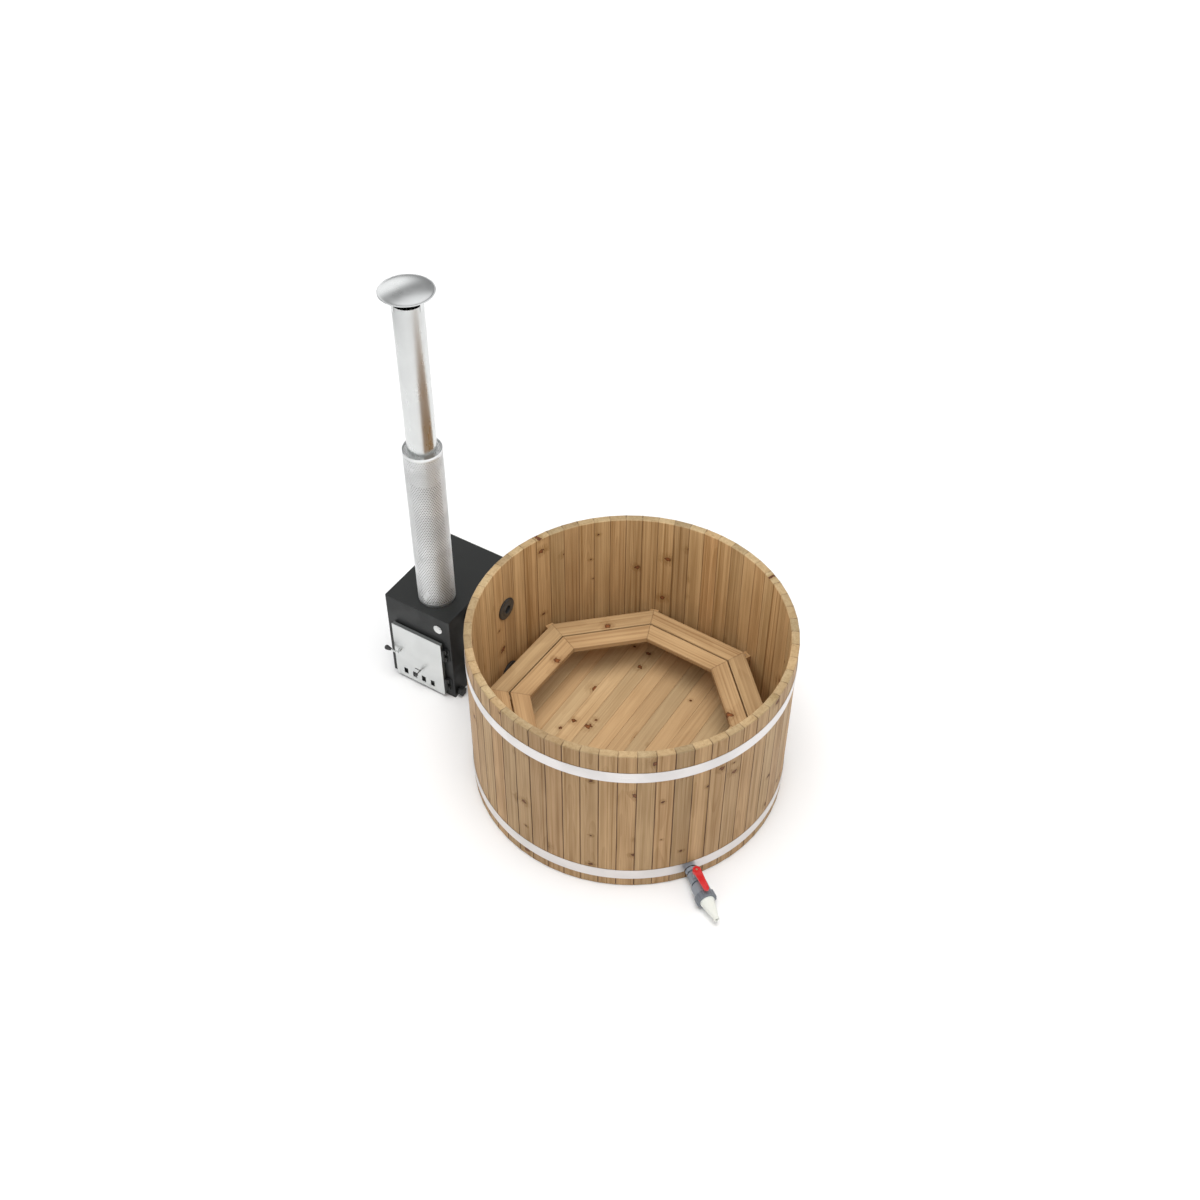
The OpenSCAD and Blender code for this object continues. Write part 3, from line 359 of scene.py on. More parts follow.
@cache
def timber_group() -> bpy.types.NodeTree:
    """Makes the group that draws planed softwood: growth rings, fibres, knots and board tones.

    Returns:
        A group that takes a place in a board, the board's number and its colours, and puts out a
        colour, a height and a share of late wood.
    """
    group = Group(
        "planed_softwood",
        {"Float": "Across, Depth, Along, Index, Inset, Seed, Spread, Knots, Groove, End, Figure",
         "Color": "Light, Dark, Knot"},
        {"Color": "Color", "Float": "Height, Late"},
    )
    given, wood = group.given, Growth()
    number = given["Index"] * wood.board_step + given["Seed"]
    luck = group.node("TexWhiteNoise", {"noise_dimensions": "1D"}, W=number).outputs
    first, second, third = group.split(luck["Color"])
    across = given["Across"] + (first - 0.5) * wood.pith_aside
    depth = given["Depth"] + (second * wood.pith_depth[1] + wood.pith_depth[0])
    along = given["Along"] + third * wood.length_apart
    spot = group.combine(across, depth, along)

    cell = group.combine(across * wood.knot_cells[0] + number * wood.knot_shift, along * wood.knot_cells[1])
    cells = group.node("TexVoronoi", {"voronoi_dimensions": "2D"}, Vector=cell, Scale=1.0).outputs
    chance, size, _ = group.split(cells["Color"])
    there = group.math("LESS_THAN", chance, given["Knots"])
    ragged = (group.noise(spot, wood.knot_ragged, 3.0) - 0.5) * wood.knot_ragged_by
    apart = Signal(group, cells["Distance"]) / (size * wood.knot_size[1] + wood.knot_size[0]) + ragged
    knot = there * group.ease(apart, *wood.knot_edge)
    halo = there * group.ease(apart, *wood.halo_edge)

    sway = group.noise(group.stretched(spot, wood.ring_sway), 1.0)
    bent = group.length(across, depth) + sway * wood.ring_sway_by + halo * wood.halo_bend
    ring = group.math("FRACT", bent / wood.ring_width)
    late = group.ease(ring, *wood.late_rise) * group.ease(ring, *wood.late_fall)
    fibre = group.noise(group.stretched(spot, wood.fibre), 1.0, 3.0, 0.6)
    streak = group.noise(group.stretched(spot, wood.streak), 1.0, 3.0, 0.6)
    resin = group.noise(group.stretched(spot, wood.resin), 1.0, 1.0)
    blotch = group.noise(group.stretched(spot, wood.blotch), 1.0)
    lines = late * wood.late_shade
    for value, (low, high, share) in zip((fibre, resin, streak), wood.line_shares):
        lines = lines + group.ease(value, low, high) * share
    lines = lines * group.ease(given["End"], 0.0, 1.0, 1.0, wood.end_lines)
    lines = (lines - wood.mean_shade) * given["Figure"] + wood.mean_shade
    shade = lines + given["End"] * wood.end_shade + (blotch - 0.5) * wood.blotch_shade
    shade = group.math("ADD", shade, halo * wood.halo_shade, clamp=True)

    spread = given["Spread"] * group.ease(given["End"], 0.0, 1.0, 1.0, wood.end_spread)
    tone = spread * (Signal(group, luck["Value"]) - 0.5) + 1.0
    plain = group.mix(shade, given["Light"], given["Dark"])
    ruddy = group.mix(second * wood.ruddy_share, plain, group.tinted(plain, wood.ruddy_tint))
    toned = group.value("VectorMath", 0, {"operation": "SCALE"}, Vector=ruddy, Scale=tone)
    toned = group.mix(given["End"], toned, group.tinted(toned, wood.end_tint))
    heart = group.mix(group.ease(size, *wood.heart_size), given["Knot"], wood.knot_heart)
    core = group.mix(group.ease(apart, *wood.knot_core), given["Knot"], heart)
    knotted = group.mix(knot, toned, core)
    broken = given["Groove"] * group.ease(blotch, *wood.seam_broken)
    seam = group.ease(given["Inset"], *wood.seam_reach) * broken
    grooved = group.mix(seam, knotted, group.tinted(knotted, wood.seam_tint))
    rise = fibre * wood.fibre_height + late * wood.late_height
    return group.put(Color=grooved, Height=rise - knot * wood.knot_dent, Late=shade)


@cache
def wear_group() -> bpy.types.NodeTree:
    """Makes the group of fine and broad marks that every finish but wood uses.

    Returns:
        A group that takes a stretched place for fine marks and the plain place for broad ones.
    """
    group = Group(
        "surface_marks", {"Vector": "Fine, Broad", "Float": "Broad Scale"}, {"Float": "Grain, Smudge, Speck"},
    )
    fine, broad, scale = (group.given[label] for label in ("Fine", "Broad", "Broad Scale"))
    smudge = group.value("TexNoise", "Fac", Vector=broad, Scale=scale, Detail=3.0, Distortion=0.4)
    speck = group.noise(broad, SPECK_SCALE, 1.0)
    return group.put(
        Grain=group.noise(fine, 1.0, 4.0, 0.6), Smudge=group.ease(smudge, *SMUDGE_EDGE),
        Speck=group.ease(speck, *SPECK_EDGE),
    )


def worn(graph: Graph, place: Signal, fine: Triple, broad: float) -> dict[str, Signal]:
    """Places the group of marks with its fine and broad frequencies and returns what it puts out."""
    stretched = graph.stretched(place, fine)
    return graph.place(wear_group(), Fine=stretched, Broad=place, Broad_Scale=broad)


# ---------------------------------------------------------------- finishes


@dataclass(frozen=True)
class Look:
    """What a finish sends to the shader, and the bump's height and its depth in metres."""

    inputs: dict[str, Value | Colour]
    height: Signal
    depth: float


@dataclass(frozen=True)
class Finish:
    """What every finish has: its name and the record's slot that it belongs to."""

    name: str
    slot: str

    def look(self, graph: Graph, place: Signal) -> Look:
        """Draws the finish at the piece's own coordinates."""
        raise NotImplementedError

    def material(self) -> bpy.types.Material:
        """Makes the material.

        Returns:
            A material whose shader takes what the finish draws.
        """
        made = bpy.data.materials.new(self.name)
        made.use_nodes = True
        graph = Graph(made.node_tree)
        shader = made.node_tree.nodes["Principled BSDF"]
        look = self.look(graph, graph.value("TexCoord", "Object"))
        bump = graph.value("Bump", Height=look.height, Distance=look.depth, Strength=1.0)
        for label, value in {**look.inputs, "Normal": bump}.items():
            graph.feed(shader.inputs[label], value)
        return made


@cache
def material_of(finish: Finish) -> bpy.types.Material:
    """Returns a finish's material, which is made once."""
    return finish.material()


class Lay(Enum):
    """How the boards of a piece lie."""

    STAVES = "upright boards round the axis"
    RING = "mitred boards in a ring round the axis"
    PLANKS = "level boards side by side along X"
    BEARERS = "level beams along X"
    POSTS = "upright posts"


@dataclass(frozen=True)
class Timber(Finish):
    """Planed softwood, oiled to a light satin."""

    lay: Lay
    light: Triple = (188, 157, 115)
    dark: Triple = (140, 109, 69)
    knot: Triple = (84, 49, 28)
    spread: float = 0.29
    knots: float = 0.22
    groove: float = 1.0
    seed: float = 0.0
    offset: float = 0.0
    pitch: float = 1.0
    count: float = 1.0
    face: float = 0.0
    figure: float = 0.78
    satin: Point = (0.5, 0.66)
    gloss: float = 0.35
    grain_depth: float = 0.0007
    outer_skin: Point = (0.03, 0.01)
    inner_groove: float = 0.42
    end_faces: Point = (0.3, 0.8)
    end_groove: float = 0.75

    def stave(self, graph: Graph, radial: Signal) -> dict[str, Value]:
        """Tells the inside, the outside and the end grain of an upright board apart.

        Args:
            graph: The material's graph.
            radial: The distance from the axis, square to the board.
        Returns:
            Groove, Figure and End for the timber group.
        """
        inner, outer = (self.face - skin for skin in self.outer_skin)
        outside = graph.ease(radial, inner, outer, self.inner_groove, 1.0)
        end = graph.ease(abs(graph.upward()), *self.end_faces)
        return {
            "Groove": outside * graph.ease(end, 0.0, 1.0, 1.0, self.end_groove), "End": end,
            "Figure": graph.ease(outside, self.inner_groove, 1.0, 1.0, self.figure),
        }

    def position(self, graph: Graph, place: Signal) -> dict[str, Value]:
        """Finds the place in a board.

        Args:
            graph: The material's graph.
            place: The piece's own coordinates.
        Returns:
            Across, Depth, Along, Index and Inset for the timber group, and more for staves.
        """
        x, y, z = graph.split(place)
        if self.lay in (Lay.STAVES, Lay.RING):
            turned_to = {"Offset": self.offset, "Pitch": self.pitch, "Count": self.count}
            spot = graph.place(sector_group(), Position=place, **turned_to)
            away = spot["Radial"] - self.face
            board = {"Index": spot["Index"], "Inset": spot["Inset"]}
            if self.lay is Lay.STAVES:
                board |= self.stave(graph, spot["Radial"])
                return {"Across": spot["Across"], "Depth": away, "Along": z, **board}
            return {"Across": away, "Depth": z, "Along": spot["Across"], **board}
        if self.lay is Lay.PLANKS:
            turn = (x - self.offset) / self.pitch
            index = graph.math("FLOOR", turn)
            across = (turn - index - 0.5) * self.pitch
            inset = self.pitch / 2 - abs(across)
            return {"Across": across, "Depth": z, "Along": y, "Index": index, "Inset": inset}
        if self.lay is Lay.BEARERS:
            index = graph.math("ROUND", y / self.pitch)
            return {"Across": y, "Depth": z, "Along": x, "Index": index, "Inset": 1.0}
        return {"Across": x, "Depth": y, "Along": z, "Index": 0.0, "Inset": 1.0}

    def look(self, graph: Graph, place: Signal) -> Look:
        """Draws the wood.

        Args:
            graph: The material's graph.
            place: The piece's own coordinates.
        Returns:
            The look of boards in their lay.
        """
        board = {"Groove": self.groove, "Figure": self.figure, **self.position(graph, place)}
        wood = graph.place(
            timber_group(), Seed=self.seed, Light=linear(self.light), Dark=linear(self.dark),
            Knot=linear(self.knot), Spread=self.spread, Knots=self.knots, **board,
        )
        rough = graph.ease(wood["Late"], 0.0, 1.0, *self.satin)
        inputs = {"Base Color": wood["Color"], "Roughness": rough, "Specular IOR Level": self.gloss}
        return Look(inputs, wood["Height"], self.grain_depth)


@dataclass(frozen=True)
class Metal(Finish):
    """Bare metal, brushed, polished or zinc coated."""

    colour: Triple
    roughness: float = 0.2
    uneven: float = 0.12
    brush: Triple = (60.0, 60.0, 60.0)
    tarnish: Triple = (120, 122, 124)
    stain: float = 0.2
    depth: float = 0.00002
    smudge_scale: float = 5.0

    def look(self, graph: Graph, place: Signal) -> Look:
        """Draws the metal.

        Args:
            graph: The material's graph.
            place: The piece's own coordinates.
        Returns:
            The look of metal with its brush marks and smudges.
        """
        marks = worn(graph, place, self.brush, self.smudge_scale)
        colour = graph.mix(marks["Smudge"] * self.stain, linear(self.colour), linear(self.tarnish))
        half = self.uneven / 2
        rough = graph.ease(marks["Grain"], *GRAIN_EDGE) * half + self.roughness + marks["Smudge"] * half
        return Look({"Base Color": colour, "Metallic": 1.0, "Roughness": rough}, marks["Grain"], self.depth)


@dataclass(frozen=True)
class Paint(Finish):
    """Heat-resistant satin paint on sheet steel, with a fine peel and a little settled dust."""

    colour: Triple
    roughness: float = 0.42
    peel: float = 260.0
    dust: float = 0.12
    gloss: float = 0.4
    dust_colour: Triple = (176, 172, 164)
    fleck_colour: Triple = (150, 150, 148)
    smudges: float = 0.25
    smudge_tone: float = 0.86
    flecks: float = 0.12
    dulled: float = 0.14
    level: Point = (0.4, 1.0)
    least_dust: float = 0.35
    peel_depth: float = 0.00008
    broad: float = 6.0

    def look(self, graph: Graph, place: Signal) -> Look:
        """Draws the paint.

        Args:
            graph: The material's graph.
            place: The piece's own coordinates.
        Returns:
            The look of satin paint with dust on what faces up.
        """
        marks = worn(graph, place, (self.peel,) * 3, self.broad)
        settled = graph.ease(graph.upward(), *self.level) * (marks["Smudge"] + self.least_dust)
        smudged = linear(darker(self.colour, self.smudge_tone))
        base = graph.mix(marks["Smudge"] * self.smudges, linear(self.colour), smudged)
        dusty = graph.mix(settled * self.dust, base, linear(self.dust_colour))
        flecked = graph.mix(marks["Speck"] * self.flecks, dusty, linear(self.fleck_colour))
        rough = graph.ease(marks["Smudge"], 0.0, 1.0, self.roughness, self.roughness + self.dulled)
        inputs = {"Base Color": flecked, "Specular IOR Level": self.gloss, "Roughness": rough}
        return Look(inputs, marks["Grain"], self.peel_depth)


@dataclass(frozen=True)
class Moulded(Finish):
    """Moulded plastic or rubber with a fine pebbled skin and handling marks."""

    colour: Triple
    roughness: float = 0.35
    pebble: float = 900.0
    depth: float = 0.00006
    pale: float = 0.12
    gloss: float = 0.5
    paler: float = 0.3
    dulled: float = 0.15
    broad: float = 38.0

    def look(self, graph: Graph, place: Signal) -> Look:
        """Draws the plastic.

        Args:
            graph: The material's graph.
            place: The piece's own coordinates.
        Returns:
            The look of a moulded skin, paler where it is rubbed.
        """
        marks = worn(graph, place, (self.pebble,) * 3, self.broad)
        lighter = tuple(c + (255 - c) * self.paler for c in self.colour)
        colour = graph.mix(marks["Smudge"] * self.pale, linear(self.colour), linear(lighter))
        rough = graph.ease(marks["Smudge"], 0.0, 1.0, self.roughness, self.roughness + self.dulled)
        inputs = {"Base Color": colour, "Roughness": rough, "Specular IOR Level": self.gloss}
        return Look(inputs, marks["Grain"], self.depth)


@dataclass(frozen=True)
class Sooted(Finish):
    """Bare iron or fire board under soot, with rust where the soot is thin."""

    colour: Triple
    rust: Triple = (104, 62, 38)
    rusty: float = 0.35
    roughness: float = 0.72
    depth: float = 0.0004
    rust_edge: Point = (0.5, 0.75)
    least_rust: float = 0.3
    soot_tone: float = 0.7
    dulled: float = 0.2
    fine: float = 120.0
    broad: float = 9.0

    def look(self, graph: Graph, place: Signal) -> Look:
        """Draws the sooted surface.

        Args:
            graph: The material's graph.
            place: The piece's own coordinates.
        Returns:
            The look of soot with patches of rust.
        """
        marks = worn(graph, place, (self.fine,) * 3, self.broad)
        patch = graph.ease(marks["Grain"], *self.rust_edge) * self.rusty * (marks["Smudge"] + self.least_rust)
        sooty = graph.mix(marks["Smudge"], linear(self.colour), linear(darker(self.colour, self.soot_tone)))
        colour = graph.mix(patch, sooty, linear(self.rust))
        rough = graph.ease(marks["Grain"], *GRAIN_EDGE, self.roughness, self.roughness + self.dulled)
        return Look({"Base Color": colour, "Roughness": rough}, marks["Grain"], self.depth)


STAVE_COUNT = 58
BENCH_SIDES = 8
BENCH_MITRE = math.radians(20.5)

WALL_WOOD = Timber(
    "wall_wood", "stave_wood", Lay.STAVES, offset=math.radians(5), pitch=math.tau / STAVE_COUNT,
    count=STAVE_COUNT, face=0.819,
)
FLOOR_WOOD = Timber(
    "floor_wood", "floor_wood", Lay.PLANKS, (196, 170, 131), (158, 129, 92), seed=71.3, offset=0.015,
    pitch=0.09, groove=0.1, spread=0.36, knots=0.16, figure=0.5,
)
INNER_BENCH_WOOD, OUTER_BENCH_WOOD = (
    Timber(
        name, "bench_wood", Lay.RING, light, dark, seed=seed, offset=BENCH_MITRE,
        pitch=math.tau / BENCH_SIDES, count=BENCH_SIDES, face=face, knots=0.14, spread=0.16, groove=0.4,
    )
    for name, light, dark, seed, face in (
        ("inner_bench_wood", (190, 162, 122), (145, 115, 80), 23.7, 0.536),
        ("outer_bench_wood", (188, 160, 120), (144, 114, 79), 41.9, 0.642),
    )
)
BEARER_WOOD = Timber("bearer_wood", "bearer_wood", Lay.BEARERS, seed=9.1, pitch=0.3)
POST_WOOD = Timber("post_wood", "bearer_wood", Lay.POSTS, seed=55.5)

HOOP_STEEL = Metal(
    "hoop_steel", "hoop_steel", (226, 223, 222), 0.27, 0.14, (8.0, 8.0, 160.0), stain=0.12, depth=0.000006,
)
LUG_STEEL = Metal("lug_steel", "hoop_steel", (214, 216, 219), 0.3, 0.25, (90.0, 90.0, 90.0), stain=0.3)
ZINC = Metal(
    "zinc_plate", "plated_steel", (206, 208, 212), 0.26, 0.25, (220.0, 220.0, 220.0), (150, 146, 128), 0.35,
    smudge_scale=60.0,
)
STAINLESS = Metal(
    "stainless_steel", "stainless", (222, 223, 222), 0.2, 0.2, (160.0, 160.0, 160.0), stain=0.15,
)
DOOR_STEEL = Metal(
    "door_steel", "door_steel", (216, 218, 217), 0.3, 0.2, (6.0, 6.0, 420.0), (190, 192, 192), 0.25,
)
FLUE_STEEL = Metal(
    "flue_steel", "flue_steel", (222, 224, 223), 0.24, 0.1, (40.0, 40.0, 5.0), (196, 197, 198), 0.2, 0.00001,
)
HEATED_STEEL = Metal(
    "heated_flue_steel", "flue_steel", (176, 177, 176), 0.42, 0.2, (40.0, 40.0, 5.0), (142, 136, 128), 0.5,
)
GUARD_STEEL = Metal(
    "guard_steel", "guard_steel", (248, 249, 249), 0.45, 0.2, (120.0, 120.0, 120.0), stain=0.2,
)
CAP_STEEL = Metal(
    "cap_steel", "cap_steel", (230, 232, 232), 0.24, 0.12, (24.0, 24.0, 60.0), (206, 208, 209), 0.25,
)
DAMPER_STEEL = Metal(
    "damper_steel", "fire_steel", (150, 150, 147), 0.38, 0.2, (40.0, 200.0, 200.0), (96, 92, 86), 0.4,
)
BLACK_PIN = Metal("blackened_pin", "plated_steel", (58, 59, 60), 0.4, 0.2, (90.0, 90.0, 90.0))
STOVE_PAINT = Paint("stove_paint", "stove_paint", (30, 32, 32), dust=0.01)
HINGE_PAINT = Paint("hinge_paint", "stove_paint", (34, 36, 36), 0.45, dust=0.0)
TRAY_PAINT = Paint("tray_paint", "fire_steel", (104, 107, 106), 0.4, dust=0.0)
FIRE_IRON = Sooted("fire_iron", "fire_steel", (58, 56, 54))
LINER = Sooted("fire_board", "liner_board", (176, 160, 136), (70, 60, 52), 0.6, 0.86)
ROPE = Sooted("glass_rope", "rope_seal", (74, 72, 68), (120, 112, 100), 0.5, 0.9)
BLACK_PLASTIC = Moulded("black_plastic", "black_plastic", (42, 42, 42), 0.32)
RUBBER = Moulded("rubber", "rubber", (30, 30, 31), 0.55, 500.0, 0.0003, 0.3, 0.3)
GREY_PVC = Moulded("grey_pvc", "grey_pvc", (136, 142, 150), 0.34)
DARK_PVC = Moulded("dark_pvc", "dark_pvc", (112, 118, 126), 0.34)
WHITE_PLASTIC = Moulded("white_plastic", "white_plastic", (228, 230, 222), 0.34, pale=0.3)
RED_PLASTIC = Moulded("red_plastic", "red_plastic", (205, 34, 40), 0.3, pale=0.25)


# ---------------------------------------------------------------- shapes


def arc_corner(before: Point, corner: Point, after: Point, radius: float, steps: int) -> list[Point]:
    """Rounds one corner of a profile.

    Args:
        before: The point before the corner.
        corner: The corner itself.
        after: The point after it.
        radius: How far from the corner the round starts.
        steps: How many spans the round has.
    Returns:
        Points along the round, from the side of the point before to that of the point after.
    """
    middle = Vector(corner)
    ends = []
    for other in (before, after):
        way = Vector(other) - middle
        ends.append(middle + way * min(radius / way.length, CORNER_SHARE))
    curve = []
    for k in range(steps + 1):
        t = k / steps
        curve.append(tuple(ends[0].lerp(middle, t).lerp(middle.lerp(ends[1], t), t)))
    return curve


def rounded(points: list[Point], radius: float, closed: bool = False, steps: int = 3) -> list[Point]:
    """Rounds every corner of a profile, and its two ends only where it is closed.

    Args:
        points: The profile's corners.
        radius: How far from a corner its round starts.
        closed: Whether the last point joins the first.
        steps: How many spans each round has.
    Returns:
        The rounded profile.
    """
    shape = []
    count = len(points)
    for k, corner in enumerate(points):
        if closed or 0 < k < count - 1:
            shape += arc_corner(points[k - 1], corner, points[(k + 1) % count], radius, steps)
        else:
            shape.append(corner)
    return shape


def turned(profile: list[Point], closed: bool = False, steps: int = 96) -> Shape:
    """Turns a profile round the Z axis.

    Args:
        profile: Pairs of a height along Z and a distance from it.
        closed: Whether the last point joins the first, as in a ring.
        steps: How many faces go round.
    Returns:
        The turned shape, with its faces pointing outwards.
    """
    shape = bmesh.new()
    points = [shape.verts.new((radius, 0, height)) for height, radius in profile]
    pairs = list(zip(points, points[1:])) + ([(points[-1], points[0])] if closed else [])
    edges = [shape.edges.new(pair) for pair in pairs]
    bmesh.ops.spin(
        shape, geom=points + edges, cent=(0, 0, 0), axis=UP, angle=math.tau, steps=steps, use_merge=True,
    )
    return cleaned(shape)


def cleaned(shape: Shape) -> Shape:
    """Merges a shape's doubled points, points its faces outwards and returns it."""
    bmesh.ops.remove_doubles(shape, verts=shape.verts, dist=MERGE)
    bmesh.ops.recalc_face_normals(shape, faces=shape.faces)
    return shape


def moved(shape: Shape, matrix: Matrix) -> Shape:
    """Places a shape and returns it."""
    bmesh.ops.transform(shape, matrix=matrix, verts=shape.verts)
    return shape


def along(direction: Vector, origin: Vector) -> Matrix:
    """Returns the matrix that lays a shape's Z axis along a direction from an origin."""
    return Matrix.Translation(origin) @ facing(direction, "Z")


def facing(direction: Vector | Triple, axis: str) -> Matrix:
    """Returns the matrix that turns an axis, such as Z or -Z, to a direction."""
    return Vector(direction).to_track_quat(axis, "Y").to_matrix().to_4x4()


def round_axis(azimuth: float) -> Vector:
    """Returns the level direction at an angle round the Z axis."""
    return Vector((math.cos(azimuth), math.sin(azimuth), 0))


def middle_of(low: Vector, high: Vector) -> Vector:
    """Returns the middle of a box."""
    return (low + high) / 2


def meshed(name: str, shape: Shape) -> bpy.types.Mesh:
    """Turns a shape into a mesh.

    Args:
        name: The mesh's name.
        shape: The shape, which is freed.
    Returns:
        The mesh.
    """
    mesh = bpy.data.meshes.new(name)
    shape.to_mesh(mesh)
    shape.free()
    return mesh


def joined(shapes: Iterable[Shape]) -> Shape:
    """Puts several shapes into one.

    Args:
        shapes: The shapes, which are freed.
    Returns:
        One shape with all their faces.
    """
    whole = bmesh.new()
    for shape in shapes:
        mesh = meshed("part", shape)
        whole.from_mesh(mesh)
        bpy.data.meshes.remove(mesh)
    return whole


def linked(name: str, data: bpy.types.ID) -> Piece:
    """Makes an object in the scene.

    Args:
        name: The object's name.
        data: Its mesh, curve, lamp or camera.
    Returns:
        The object.
    """
    made = bpy.data.objects.new(name, data)
    bpy.context.scene.collection.objects.link(made)
    return made


@dataclass(frozen=True)
class Softened:
    """A piece that is a CAD node's own shape with its edges rounded over."""

    name: str
    node: str
    finish: Finish
    width: float
    segments: int = 2

    def shape(self) -> Shape:
        """Copies the node's mesh, merges it and joins its flat triangles into whole faces.

        Returns:
            The node's shape, in place.
        """
        shape = bmesh.new()
        shape.from_mesh(frame["nodes"][self.node].data)
        bmesh.ops.remove_doubles(shape, verts=shape.verts, dist=5 * MERGE)
        bmesh.ops.dissolve_limit(shape, angle_limit=FLAT, verts=shape.verts, edges=shape.edges)
        return shape


Softenings = ClassVar[tuple[Softened, ...]]
Dressings = ClassVar[dict[Finish, tuple[str, ...]]]


class SubAssembly:
    """Pieces that are made and dressed together."""

    softened: Softenings = ()
    dressed: Dressings = {}

    def add(self, name: str, shape: Shape, finish: Finish, node: str, crease: float = CREASE) -> Piece:
        """Makes a piece that stands for a CAD node and moves with its body.

        Args:
            name: The piece's name.
            shape: Its shape, in place.
            finish: Its finish.
            node: The CAD node that it stands for.
            crease: The angle past which an edge is shaded sharp.
        Returns:
            The piece.
        """
        for face in shape.faces:
            face.smooth = True
        for edge in shape.edges:
            edge.smooth = edge.is_boundary or edge.calc_face_angle(0.0) < crease
        mesh = meshed(name, shape)
        mesh.materials.append(material_of(finish))
        piece = linked(name, mesh)
        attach(piece, frame["nodes"][node]["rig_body"])
        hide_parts(node)
        return piece

    def soften(self, plan: Softened) -> Piece:
        """Makes a piece with rounded edges.

        Args:
            plan: The node, the finish and the rounding.
        Returns:
            The piece.
        """
        piece = self.add(plan.name, plan.shape(), plan.finish, plan.node)
        bevel = piece.modifiers.new("rounded_edges", "BEVEL")
        bevel.width = plan.width
        bevel.segments = plan.segments
        bevel.limit_method = "ANGLE"
        bevel.angle_limit = CREASE
        bevel.harden_normals = True
        return piece

    def shaped(self) -> list[Piece]:
        """Makes and returns the pieces that have a shape of their own."""
        return []

    def build(self) -> list[str]:
        """Makes and dresses every piece.

        Returns:
            The names of what it made or dressed.
        """
        pieces = [self.soften(plan) for plan in self.softened] + self.shaped()
        names = [piece.name for piece in pieces]
        for finish, nodes in self.dressed.items():
            for node in nodes:
                names.append(node)
                for slot in frame["nodes"][node].material_slots:
                    slot.material = material_of(finish)
        return names


# ---------------------------------------------------------------- tub


@dataclass
class Tub(SubAssembly):
    """Staves, floor, bearers and hoops."""

    softened: Softenings = (
        Softened("hoop_lugs_welded", "hoop_lugs", LUG_STEEL, 0.0012),
        Softened("hoop_nuts_plated", "hoop_nuts", ZINC, 0.0008),
    )
    dressed: Dressings = {
        WALL_WOOD: ("wall_staves", "bored_staves"), FLOOR_WOOD: ("floor_boards",),
        BEARER_WOOD: ("floor_bearers",), HOOP_STEEL: ("upper_hoop", "lower_hoop"),
    }

    thread_pitch: float = 0.0025
    thread_depth: float = 0.0009
    rod_radius: float = 0.005
    rod_length: float = 0.12
    rod_reach: float = 0.8415
    rod_rise: float = 0.022
    rod_steps: int = 20
    hoop_azimuth: float = math.radians(117)

    def rods(self) -> Shape:
        """Turns the four threaded rods that draw the hoops tight.

        Returns:
            The rods, in place.
        """
        radial = round_axis(self.hoop_azimuth)
        end, root = self.rod_length / 2, self.rod_radius - self.thread_depth
        profile = [(-end, 0.0)]
        for k in range(round(self.rod_length / self.thread_pitch)):
            start = k * self.thread_pitch - end
            profile += [(start, root), (start + self.thread_pitch / 2, self.rod_radius)]
        profile += [(end, root), (end, 0.0)]
        rods = []
        for hoop in ("upper_hoop", "lower_hoop"):
            level = middle_of(*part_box(hoop)).z
            for side in (-1, 1):
                middle = radial * self.rod_reach + UP * (level + side * self.rod_rise)
                rods.append(moved(turned(profile, steps=self.rod_steps), along(UP.cross(radial), middle)))
        return joined(rods)

    def shaped(self) -> list[Piece]:
        """Makes and returns the threaded rods."""
        return [self.add("hoop_rods_threaded", self.rods(), ZINC, "hoop_rods")]


@dataclass
class Bench(SubAssembly):
    """The ring of two mitred boards on rails and posts."""

    round_over: ClassVar[float] = 0.003
    softened: Softenings = (
        Softened("bench_inner_ring", "bench_inner_boards", INNER_BENCH_WOOD, round_over),
        Softened("bench_outer_ring", "bench_outer_boards", OUTER_BENCH_WOOD, round_over),
    )
    dressed: Dressings = {
        BEARER_WOOD: ("bench_rails",), POST_WOOD: ("bench_legs",), ZINC: ("bench_screws",),
    }


# ---------------------------------------------------------------- water fittings


